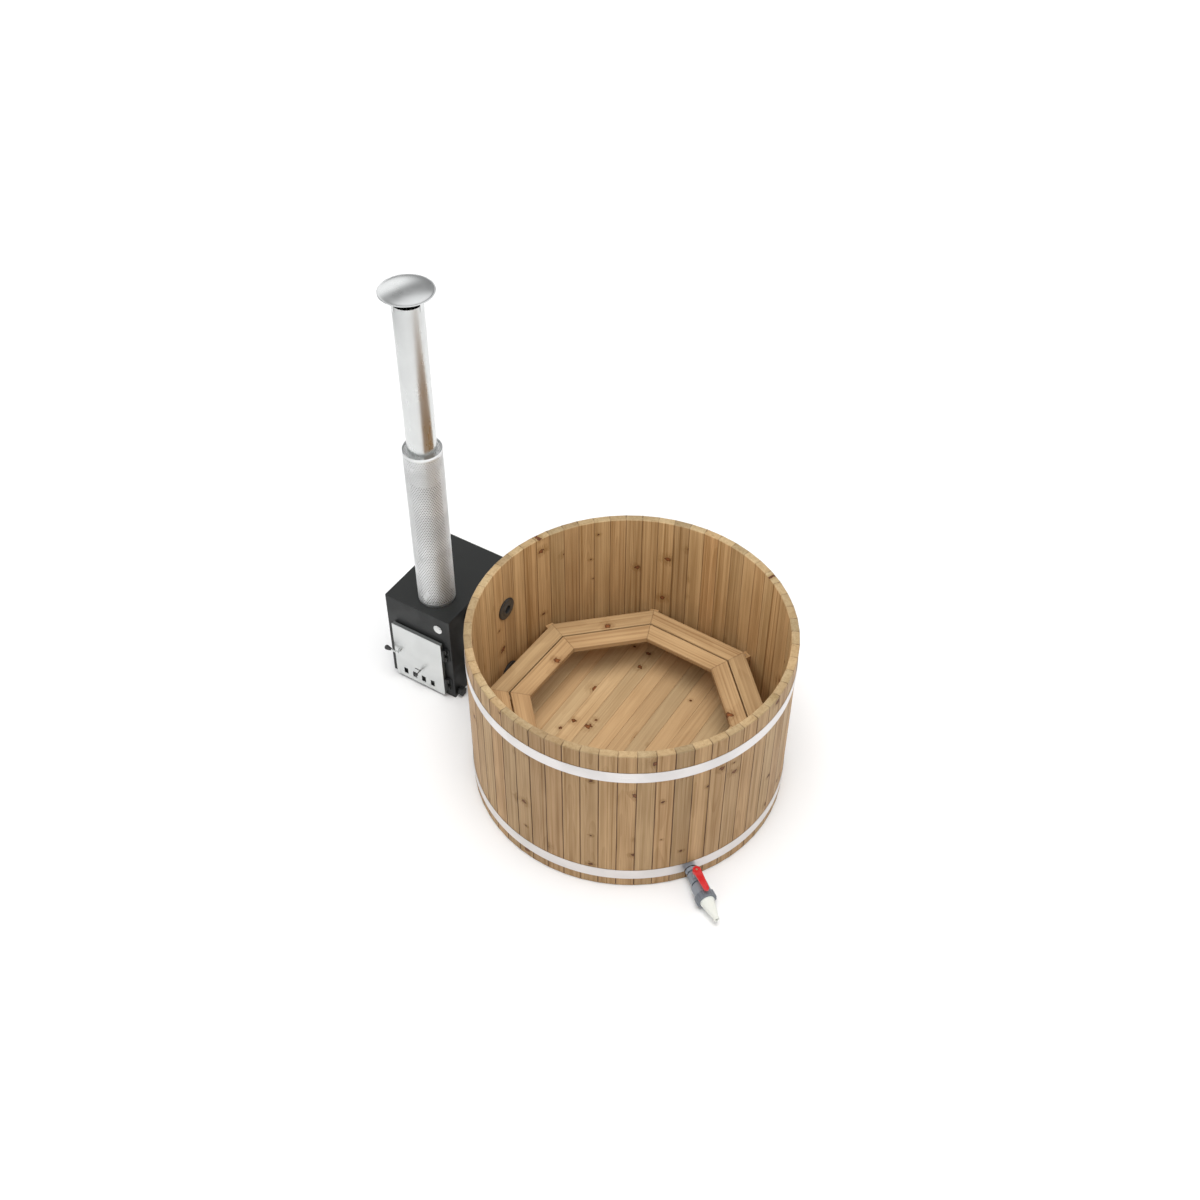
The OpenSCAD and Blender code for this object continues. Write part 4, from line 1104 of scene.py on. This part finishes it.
@dataclass
class WaterPorts(SubAssembly):
    """The two threaded ports through the wall and the rubber connectors to the stove."""

    softened: Softenings = (
        Softened("port_nuts", "wall_nuts", BLACK_PLASTIC, 0.0015),
        Softened("clamp_bands", "hose_clamps", ZINC, 0.0003),
    )
    dressed: Dressings = {RUBBER: ("wall_gaskets", "hoses")}

    flange_radius: float = 0.0625
    flange_thick: float = 0.012
    flange_slope: Point = (0.0055, 0.006)
    recess: float = 0.0035
    collar_radius: float = 0.034
    collar_slope: float = 0.003
    bore_radius: float = 0.023
    tail_radius: float = 0.025
    barb_from: float = 0.008
    barb_to: float = 0.006
    barb_depth: float = 0.001
    inner_x: float = -0.765
    tail_x: float = -0.868
    thread_radius: float = 0.028
    thread_x: float = -0.8302
    port_y: float = 0.031
    port_heights: Point = (0.683, 0.2)
    edge: float = 0.0012

    def port(self, height: float) -> Shape:
        """Turns one port: flange, raised collar, body and hose tail round an open bore.

        Args:
            height: How high the bore's axis is.
        Returns:
            The port, in place.
        """
        length, neck = self.inner_x - self.tail_x, self.inner_x - self.thread_x
        tail = self.tail_radius - self.barb_depth
        slope, rim = self.flange_slope
        profile = rounded([
            (0.0, self.bore_radius), (0.0, self.collar_radius),
            (self.recess, self.collar_radius + self.collar_slope), (self.recess, self.flange_radius - rim),
            (slope, self.flange_radius), (self.flange_thick, self.flange_radius),
            (self.flange_thick, self.thread_radius), (neck, self.thread_radius), (neck, tail),
            (length - self.barb_from, tail), (length - self.barb_to, self.tail_radius),
            (length, tail), (length, self.bore_radius),
        ], self.edge, closed=True)
        start = Vector((self.inner_x, self.port_y, height))
        return moved(turned(profile, closed=True), along(Vector((-1, 0, 0)), start))

    def shaped(self) -> list[Piece]:
        """Makes and returns the two ports as one piece."""
        ports = joined(self.port(height) for height in self.port_heights)
        return [self.add("wall_ports", ports, BLACK_PLASTIC, "wall_flanges")]


@dataclass
class Drain(SubAssembly):
    """The floor drain, its pipe, the ball valve and the hose nozzle."""

    moulded_edge: ClassVar[float] = 0.0018
    softened: Softenings = (
        Softened("valve_casing", "valve_body", GREY_PVC, moulded_edge, 3),
        Softened("valve_union_end", "valve_tailpiece", GREY_PVC, moulded_edge, 3),
        Softened("union_nut", "valve_union_nut", DARK_PVC, 0.002, 3),
        Softened("pipe_nut", "drain_nut", GREY_PVC, moulded_edge),
        Softened("lever_handle", "valve_lever", RED_PLASTIC, 0.0025, 3),
        Softened("strainer_plate", "drain_strainer", STAINLESS, 0.0004),
    )
    dressed: Dressings = {
        STAINLESS: ("drain_flange", "valve_ball", "valve_stem"), GREY_PVC: ("drain_sump", "drain_pipe"),
        RUBBER: ("drain_bush",), WHITE_PLASTIC: ("valve_seats",),
    }

    azimuth: float = math.radians(-36.8)
    height: float = 0.06
    tip: float = 1.135
    neck: float = 1.0145
    neck_radius: float = 0.037
    cone: tuple[Point, ...] = ((0.03, 0.0318), (0.0625, 0.0249), (0.085, 0.0194))
    neck_length: float = 0.0105
    tip_radius: float = 0.015
    tip_groove: Triple = (0.015, 0.0135, 0.012)
    groove_depth: float = 0.0008
    bore_radius: float = 0.008
    bore_depth: float = 0.025
    cavity_radius: float = 0.016
    edge: float = 0.0012
    steps: int = 72

    def nozzle(self) -> Shape:
        """Turns the hose nozzle: a neck in the union nut, a hollow cone and a short straight tip.

        Returns:
            The nozzle, in place.
        """
        way = self.tip - self.neck
        first, low, last = (way - back for back in self.tip_groove)
        profile = rounded([
            (0.0, self.cavity_radius), (0.0, self.neck_radius), (self.neck_length, self.neck_radius),
            *self.cone, (first, self.tip_radius), (low, self.tip_radius - self.groove_depth),
            (last, self.tip_radius), (way, self.tip_radius), (way, self.bore_radius),
            (way - self.bore_depth, self.bore_radius),
        ], self.edge, closed=True)
        radial = round_axis(self.azimuth)
        start = radial * self.neck + UP * self.height
        return moved(turned(profile, closed=True, steps=self.steps), along(radial, start))

    def shaped(self) -> list[Piece]:
        """Makes and returns the nozzle."""
        return [self.add("nozzle_cone", self.nozzle(), WHITE_PLASTIC, "hose_nozzle")]


# ---------------------------------------------------------------- stove


def fronted(node: str) -> tuple[float, float, Matrix]:
    """Measures a round piece that stands on the stove's front.

    Args:
        node: The CAD node.
    Returns:
        Its radius, how far it stands out, and the matrix that lays Z along its axis from its back.
    """
    low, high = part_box(node)
    back = middle_of(low, high)
    back.y = high.y
    return (high.x - low.x) / 2, high.y - low.y, along(Vector((0, -1, 0)), back)


@dataclass
class Stove(SubAssembly):
    """The painted shell, the fire box inside it and what is fixed to it."""

    sheet_edge: ClassVar[float] = 0.0015
    softened: Softenings = (
        Softened("stove_sides", "stove_casing", STOVE_PAINT, sheet_edge),
        Softened("stove_top", "stove_top_plate", STOVE_PAINT, sheet_edge),
        Softened("stove_front", "stove_front_panel", STOVE_PAINT, sheet_edge),
        Softened("drain_cap", "jacket_plug", STOVE_PAINT, sheet_edge),
        Softened("hinge_blocks", "hinge_brackets", HINGE_PAINT, 0.0008),
        Softened("hinge_bolts", "hinge_pins", BLACK_PIN, 0.0006),
    )
    dressed: Dressings = {
        STOVE_PAINT: ("pipe_stubs",), FIRE_IRON: ("firebox", "fire_grate", "baffle_plate", "flue_collar"),
    }

    disc_roll: float = 0.0014
    disc_rim: float = 0.003
    disc_bend: Point = (0.0006, 0.0042)
    disc_dish: float = 0.0004

    def plate(self) -> Shape:
        """Turns the plain bright disc on the front, with a shallow rolled rim.

        Returns:
            The disc, in place.
        """
        radius, thick, spot = fronted("round_plate")
        profile = [(0.0, 0.0), (0.0, radius)]
        profile += arc_corner((0.0, radius), (thick, radius), (thick, 0.0), self.disc_roll, 4)
        bend, inset = self.disc_bend
        profile += [(thick, radius - self.disc_rim), (thick - bend, radius - inset)]
        profile.append((thick - self.disc_dish, 0.0))
        return moved(turned(profile), spot)

    def shaped(self) -> list[Piece]:
        """Makes and returns the disc."""
        return [self.add("bright_disc", self.plate(), STAINLESS, "round_plate")]


@dataclass
class Door(SubAssembly):
    """The hinged door with its box, seal, latch and air damper."""

    softened: Softenings = (
        Softened("door_sheet", "door_face", DOOR_STEEL, 0.0008),
        Softened("door_tray", "door_box", TRAY_PAINT, 0.001),
        Softened("door_hinge_arms", "hinge_arms", HINGE_PAINT, 0.0008),
        Softened("latch_arm", "latch_lever", DOOR_STEEL, 0.0012),
        Softened("latch_catch", "latch_hook", FIRE_IRON, 0.0008),
        Softened("damper_slide", "air_damper", DAMPER_STEEL, 0.0006),
        Softened("door_board", "door_liner", LINER, 0.0012),
    )

    rope_inset: float = 0.004
    rope_corner: float = 0.012
    rope_span: float = 0.0028
    rope_turn: float = 0.022
    rope_radius: float = 0.0039
    rope_lobes: int = 3
    rope_round: Point = (0.88, 0.12)
    rope_sides: int = 18
    knob: tuple[Point, ...] = ((0.0, 0.0), (0.0, 0.6), (0.25, 0.62), (0.35, 1.0), (1.0, 1.0), (1.0, 0.0))
    knob_edge: float = 0.0016
    knurls: int = 28
    knurl_from: float = 0.8
    knurl_depth: float = 0.035
    ball_open: float = 68.0
    ball_spans: int = 24
    ball_steps: int = 56
    ferrule: Point = (0.0068, 0.008)
    ferrule_length: float = 0.003
    ferrule_edge: float = 0.0008

    def rope_path(self, low: Vector, high: Vector) -> tuple[list[Vector], list[float]]:
        """Runs the rope round the door's opening.

        Args:
            low: The least corner of the seal's box.
            high: The greatest corner.
        Returns:
            Points in even spans, and the length run at each of them and at the end.
        """
        left, right = low.x + self.rope_inset, high.x - self.rope_inset
        foot, top = low.z + self.rope_inset, high.z - self.rope_inset
        corners = [(left, foot), (right, foot), (right, top), (left, top)]
        stops = [Vector((x, 0, z)) for x, z in rounded(corners, self.rope_corner, closed=True, steps=6)]
        points, run = [], [0.0]
        for start, end in zip(stops, stops[1:] + stops[:1]):
            length = (end - start).length
            parts = max(1, round(length / self.rope_span))
            for k in range(parts):
                points.append(start.lerp(end, k / parts))
                run.append(run[-1] + length / parts)
        return points, run

    def rope(self) -> Shape:
        """Sweeps a twisted rope round the door's opening and presses it to the seal's depth.

        Returns:
            The rope, in place.
        """
        low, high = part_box("door_gasket")
        points, run = self.rope_path(low, high)
        twist = math.tau * round(run[-1] / self.rope_turn) / run[-1]
        plain, lobed = self.rope_round
        ring = [
            round_axis(a) * self.rope_radius * (plain + lobed * math.cos(self.rope_lobes * a))
            for a in (math.tau * k / self.rope_sides for k in range(self.rope_sides))
        ]
        section = self.spline("rope_section", ring, [0.0] * self.rope_sides)
        line = self.spline("rope_line", points, [twist * length for length in run])
        line.data.bevel_mode = "OBJECT"
        line.data.bevel_object = section
        swept = line.evaluated_get(bpy.context.evaluated_depsgraph_get())
        shape = bmesh.new()
        shape.from_mesh(bpy.data.meshes.new_from_object(swept))
        for used in (section, line):
            bpy.data.objects.remove(used)
        press = (high.y - low.y) / 2 / max(abs(vertex.co.y) for vertex in shape.verts)
        for vertex in shape.verts:
            vertex.co.y = middle_of(low, high).y + vertex.co.y * press
        return cleaned(shape)

    def spline(self, name: str, points: list[Vector], tilts: list[float]) -> Piece:
        """Makes a closed line of straight spans.

        Args:
            name: The curve's name.
            points: Its points, in order.
            tilts: How far the line is turned about itself at each point.
        Returns:
            The curve object, linked to the scene.
        """
        curve = bpy.data.curves.new(name, "CURVE")
        curve.dimensions = "3D"
        line = curve.splines.new("POLY")
        line.points.add(len(points) - 1)
        for spot, point, tilt in zip(line.points, points, tilts):
            spot.co = (*point, 1.0)
            spot.tilt = tilt
        line.use_cyclic_u = True
        return linked(name, curve)

    def damper_grip(self) -> Shape:
        """Turns the damper's knob and draws its rim into grips.

        Returns:
            The knob, in place.
        """
        radius, long, spot = fronted("damper_knob")
        profile = rounded([(long * rise, radius * reach) for rise, reach in self.knob], self.knob_edge)
        shape = turned(profile, steps=4 * self.knurls)
        for vertex in shape.verts:
            if math.hypot(vertex.co.x, vertex.co.y) > self.knurl_from * radius:
                turn = math.atan2(vertex.co.y, vertex.co.x)
                drawn = 1 - self.knurl_depth * (1 + math.cos(self.knurls * turn)) / 2
                vertex.co.x *= drawn
                vertex.co.y *= drawn
        return moved(shape, spot)

    def latch_ball(self) -> Shape:
        """Turns the latch's ball with the flat ferrule where the lever goes in.

        Returns:
            The ball and its ferrule, in place.
        """
        low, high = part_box("latch_knob")
        radius = (high.z - low.z) / 2
        neck = high.x - low.x - radius
        spans = range(self.ball_spans + 1)
        turns = [math.radians(self.ball_open + (180 - self.ball_open) * k / self.ball_spans) for k in spans]
        ball = [(radius * math.cos(t), radius * math.sin(t)) for t in turns]
        back, (small, flared) = neck - self.ferrule_length, self.ferrule
        corners = [(neck, 0.0), (neck, small), (back, small), (back, flared), ball[0]]
        middle = middle_of(low, high)
        middle.x = low.x + radius
        profile = rounded(corners, self.ferrule_edge)[:-1] + ball
        return moved(turned(profile, steps=self.ball_steps), along(Vector((1, 0, 0)), middle))

    def shaped(self) -> list[Piece]:
        """Makes the rope, the damper's knob and the latch's ball.

        Returns:
            The three pieces.
        """
        return [
            self.add("door_rope", self.rope(), ROPE, "door_gasket", crease=math.pi),
            self.add("damper_grip", self.damper_grip(), BLACK_PLASTIC, "damper_knob"),
            self.add("latch_ball", self.latch_ball(), BLACK_PLASTIC, "latch_knob"),
        ]


# ---------------------------------------------------------------- chimney


@dataclass
class Chimney(SubAssembly):
    """The flue, the pierced heat guard round it and the rain cap."""

    softened: Softenings = (Softened("guard_stays", "guard_spacers", GUARD_STEEL, 0.0005),)
    dressed: Dressings = {HEATED_STEEL: ("lower_flue",), FLUE_STEEL: ("upper_flue",)}

    columns: int = 48
    hole_radius: float = 0.0043
    hole_sides: int = 8
    long_edge: float = 0.7
    sheet: float = 0.0015
    plain_rim: float = 0.012
    cap_rise: float = 0.04
    cap_power: float = 2.0
    cap_rings: int = 24
    cap_steps: int = 128
    rim_roll: float = 0.0035
    rim_gap: float = 0.0002
    roll_from: float = 0.62
    roll_spans: int = 12
    roll_span: float = 1 / 9
    strap_width: float = 0.02
    strap_thick: float = 0.002
    strap_edge: float = 0.0006
    strap_count: int = 3
    strap_turn: float = math.radians(3.5)

    def cell(self, radius: float, pitch: float) -> Shape:
        """Makes one six-sided cell of the guard's sheet with a round hole.

        Args:
            radius: The radius that the cell is bent to.
            pitch: The distance between two holes of a row.
        Returns:
            The cell, at the guard's side on +X.
        """
        cell = bmesh.new()
        outer = bmesh.ops.create_circle(cell, segments=6, radius=pitch / math.sqrt(3))["verts"]
        inner = bmesh.ops.create_circle(cell, segments=self.hole_sides, radius=self.hole_radius)["verts"]
        bmesh.ops.rotate(cell, verts=inner, matrix=Matrix.Rotation(math.pi / self.hole_sides, 3, "Z"))
        bmesh.ops.bridge_loops(cell, edges=cell.edges)
        bmesh.ops.triangulate(cell, faces=cell.faces)
        for vertex in outer + inner:
            vertex.co = round_axis(vertex.co.x / radius) * radius + UP * vertex.co.y
        return cell

    def guard(self) -> Shape:
        """Sets the cells round and up the guard in staggered rows and adds the plain rims.

        Returns:
            The guard's outer skin, in place.
        """
        low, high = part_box("heat_guard")
        radius = (high.x - low.x) / 2
        pitch = math.tau * radius / self.columns
        row = pitch * math.sqrt(3) / 2
        rows = 2 * int((high.z - low.z - 2 * self.plain_rim) / row / 2)
        middle = middle_of(low, high).z
        shape = self.cell(radius, pitch)
        bmesh.ops.spin(
            shape, geom=shape.verts[:] + shape.edges[:] + shape.faces[:], cent=(0, 0, 0), axis=UP,
            angle=math.tau * (1 - 1 / self.columns), steps=self.columns - 1, use_duplicate=True,
        )
        stagger = Matrix.Translation(UP * row) @ Matrix.Rotation(math.pi / self.columns, 4, "Z")
        self.repeat(shape, stagger, 1)
        self.repeat(shape, Matrix.Translation(UP * 2 * row), rows // 2 - 1)
        bmesh.ops.remove_doubles(shape, verts=shape.verts, dist=10 * MERGE)
        moved(shape, Matrix.Translation(UP * (middle - (rows - 1) * row / 2)))
        hole_edge = self.long_edge * pitch / math.sqrt(3)
        border = [edge for edge in shape.edges if edge.is_boundary and edge.calc_length() > hole_edge]
        for end, side in ((low.z, -1), (high.z, 1)):
            rim = [edge for edge in border if side * (edge.verts[0].co.z - middle) > 0]
            grown = bmesh.ops.extrude_edge_only(shape, edges=rim)["geom"]
            for vertex in (part for part in grown if isinstance(part, bmesh.types.BMVert)):
                vertex.co.z = end
        moved(shape, Matrix.Translation(middle_of(low, high) * LEVEL))
        bmesh.ops.recalc_face_normals(shape, faces=shape.faces)
        return shape

    def repeat(self, shape: Shape, step: Matrix, times: int) -> None:
        """Copies the whole shape again and again, each copy moved by one more step.

        Args:
            shape: The shape, which grows.
            step: The move from one copy to the next.
            times: How many copies are added.
        """
        last = shape.verts[:] + shape.edges[:] + shape.faces[:]
        for _ in range(times):
            last = bmesh.ops.duplicate(shape, geom=last)["geom"]
            verts = [part for part in last if isinstance(part, bmesh.types.BMVert)]
            bmesh.ops.transform(shape, matrix=step, verts=verts)

    def cap(self) -> Shape:
        """Turns the dished rain cap with its rolled rim and adds the straps that carry it.

        Returns:
            The cap and its straps, in place.
        """
        low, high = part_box("rain_cap")
        radius = (high.x - low.x) / 2
        crown = radius - 2 * self.rim_roll

        def rise(reach: float) -> float:
            """Returns the height of the cap's upper face at a distance from its middle."""
            return high.z - self.cap_rise * (reach / radius) ** self.cap_power

        reaches = [crown * k / self.cap_rings for k in range(self.cap_rings + 1)]
        outer = [(rise(reach), reach) for reach in reaches]
        centre = (rise(crown) - self.rim_roll - self.rim_gap, radius - self.rim_roll)
        roll = []
        for k in range(self.roll_spans + 1):
            angle = math.pi * (self.roll_from - k * self.roll_span)
            level = centre[0] + self.rim_roll * math.sin(angle)
            roll.append((max(high.z - self.cap_rise, level), centre[1] + self.rim_roll * math.cos(angle)))
        under = [(height - self.sheet, reach) for height, reach in reversed(outer)]
        shapes = [turned(outer + roll + under, steps=self.cap_steps)]
        for k in range(self.strap_count):
            shapes.append(self.strap(low.z, rise, self.strap_turn + math.tau * k / self.strap_count))
        return moved(joined(shapes), Matrix.Translation(middle_of(low, high) * LEVEL))

    def strap(self, foot: float, rise: Callable[[float], float], azimuth: float) -> Shape:
        """Makes one strap that stands in the flue and carries the cap.

        Args:
            foot: The height of its lower end.
            rise: The height of the cap at a distance from its middle.
            azimuth: Where it stands round the flue.
        Returns:
            The strap round the Z axis.
        """
        low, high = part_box("upper_flue")
        inside = (high.x - low.x) / 2
        top = rise(inside + self.strap_thick) - self.sheet
        strap = bmesh.new()
        bmesh.ops.create_cube(strap, size=1)
        moved(strap, Matrix.Diagonal((self.strap_thick, self.strap_width, top - foot, 1)))
        edge = {"offset": self.strap_edge, "segments": 2, "profile": 0.5}
        bmesh.ops.bevel(strap, geom=strap.edges[:], affect="EDGES", material=-1, **edge)
        middle = Vector((inside + self.strap_thick / 2, 0, (top + foot) / 2))
        return moved(strap, Matrix.Rotation(azimuth, 4, "Z") @ Matrix.Translation(middle))

    def shaped(self) -> list[Piece]:
        """Makes the pierced guard and the rain cap.

        Returns:
            The two pieces.
        """
        guard = self.add("pierced_guard", self.guard(), GUARD_STEEL, "heat_guard", crease=math.pi)
        wall = guard.modifiers.new("sheet_thickness", "SOLIDIFY")
        wall.thickness = self.sheet
        wall.offset = -1
        return [guard, self.add("rain_cap_dome", self.cap(), CAP_STEEL, "rain_cap")]


# ---------------------------------------------------------------- studio


@dataclass
class Studio:
    """A pale floor, soft lights and the camera."""

    camera_at: Triple = (2.554, -4.446, 6.296)
    camera_way: Triple = (-0.371, 0.603, -0.7063)
    camera_roll: float = math.radians(0.31)
    lens: float = 45.3
    sensor: float = 36.0
    floor_size: float = 24.0
    floor_lit: Colour = (0.96, 0.96, 0.96, 1.0)
    # floor_dim is a painted dim reflection: the floor's colour in glossy rays past lit_reach
    floor_dim: Colour = (0.2, 0.2, 0.2, 1.0)
    lit_reach: Point = (4.0, 6.5)
    sky: float = 0.62
    sun: float = 1.8
    sun_spread: float = math.radians(36)
    sun_from: Triple = (0.25, -0.6, 5.0)
    ring_pole: Triple = (-0.794, 0.4945, 0.352)
    ring_angle: float = math.radians(44)
    ring_edges: Point = (0.08, 0.27)
    ring_light: Point = (0.27, 1.1)
    bowl_at: Triple = (0.0, -0.1, 1.45)
    bowl_size: float = 0.45
    bowl_power: float = 21.0

    def camera(self) -> None:
        """Sets the camera at the photograph's angle."""
        data = bpy.data.cameras.new("camera")
        data.lens = self.lens
        data.sensor_width = self.sensor
        view = linked("camera", data)
        roll = Matrix.Rotation(self.camera_roll, 4, "Z")
        view.matrix_world = Matrix.Translation(self.camera_at) @ facing(self.camera_way, "-Z") @ roll
        bpy.context.scene.camera = view

    def overhead(self) -> None:
        """Adds the broad overhead light, which is the same over the whole floor."""
        data = bpy.data.lights.new("overhead", "SUN")
        data.energy = self.sun
        data.angle = self.sun_spread
        lamp = linked("overhead", data)
        lamp.visible_glossy = False
        lamp.matrix_world = facing(self.sun_from, "Z")

    def bowl(self) -> None:
        """Hangs a soft round lamp over the tub, which fills its inside and shows in no surface."""
        data = bpy.data.lights.new("bowl", "POINT")
        data.energy = self.bowl_power
        data.shadow_soft_size = self.bowl_size
        lamp = linked("bowl", data)
        lamp.location = self.bowl_at
        lamp.visible_camera = False
        lamp.visible_glossy = False

    def walls(self) -> None:
        """Sets the room's even light, in which the metals mirror a dim ring round a bright back wall."""
        world = bpy.data.worlds.new("studio")
        world.use_nodes = True
        graph = Graph(world.node_tree)
        seen = {0: graph.value("TexCoord", "Generated"), 1: Vector(self.ring_pole).normalized()}
        off = graph.filled("VectorMath", {"operation": "DOT_PRODUCT"}, seen, output=1)
        ring = graph.ease(abs(off - math.cos(self.ring_angle)), *self.ring_edges, *self.ring_light)
        path = graph.node("LightPath").outputs
        mirrored = (ring - self.sky) * path["Is Glossy Ray"]
        strength = graph.math("MAXIMUM", mirrored + self.sky, path["Is Camera Ray"])
        background = world.node_tree.nodes["Background"].inputs
        graph.feed(background["Strength"], strength)
        background["Color"].default_value = (1.0, 1.0, 1.0, 1.0)
        bpy.context.scene.world = world

    def floor(self) -> None:
        """Lays the pale floor, whose colour in glossy rays is darkened further off from the tub: a painted
        dim reflection in the metals.
        """
        shape = bmesh.new()
        bmesh.ops.create_grid(shape, x_segments=1, y_segments=1, size=self.floor_size / 2)
        ground = linked("studio_floor", meshed("studio_floor", shape))
        pale = bpy.data.materials.new("studio_floor")
        pale.use_nodes = True
        graph = Graph(pale.node_tree)
        shader = pale.node_tree.nodes["Principled BSDF"]
        x, y, _ = graph.split(graph.value("TexCoord", "Object"))
        in_mirror = graph.value("LightPath", "Is Glossy Ray")
        # painted reflection: only in glossy rays, the floor's colour fades to floor_dim past lit_reach
        painted_dim_reflection = in_mirror * graph.ease(graph.length(x, y), *self.lit_reach)
        graph.feed(shader.inputs["Base Color"], graph.mix(painted_dim_reflection, self.floor_lit, self.floor_dim))
        shader.inputs["Roughness"].default_value = 1.0
        ground.data.materials.append(pale)

    def build(self) -> None:
        """Makes the whole studio."""
        for step in (self.camera, self.floor, self.walls, self.overhead, self.bowl):
            step()
        bpy.context.scene.view_settings.view_transform = "Standard"


def main() -> None:
    """Builds the studio and every sub-assembly, and reports the pieces."""
    logging.basicConfig(level=logging.INFO, format="%(name)s: %(message)s")
    Studio().build()
    for part in (Tub(), Bench(), WaterPorts(), Drain(), Stove(), Door(), Chimney()):
        for name in part.build():
            LOG.info("%s: %s", type(part).__name__, name)
    bpy.context.view_layer.update()


if __name__ == "__main__":
    main()
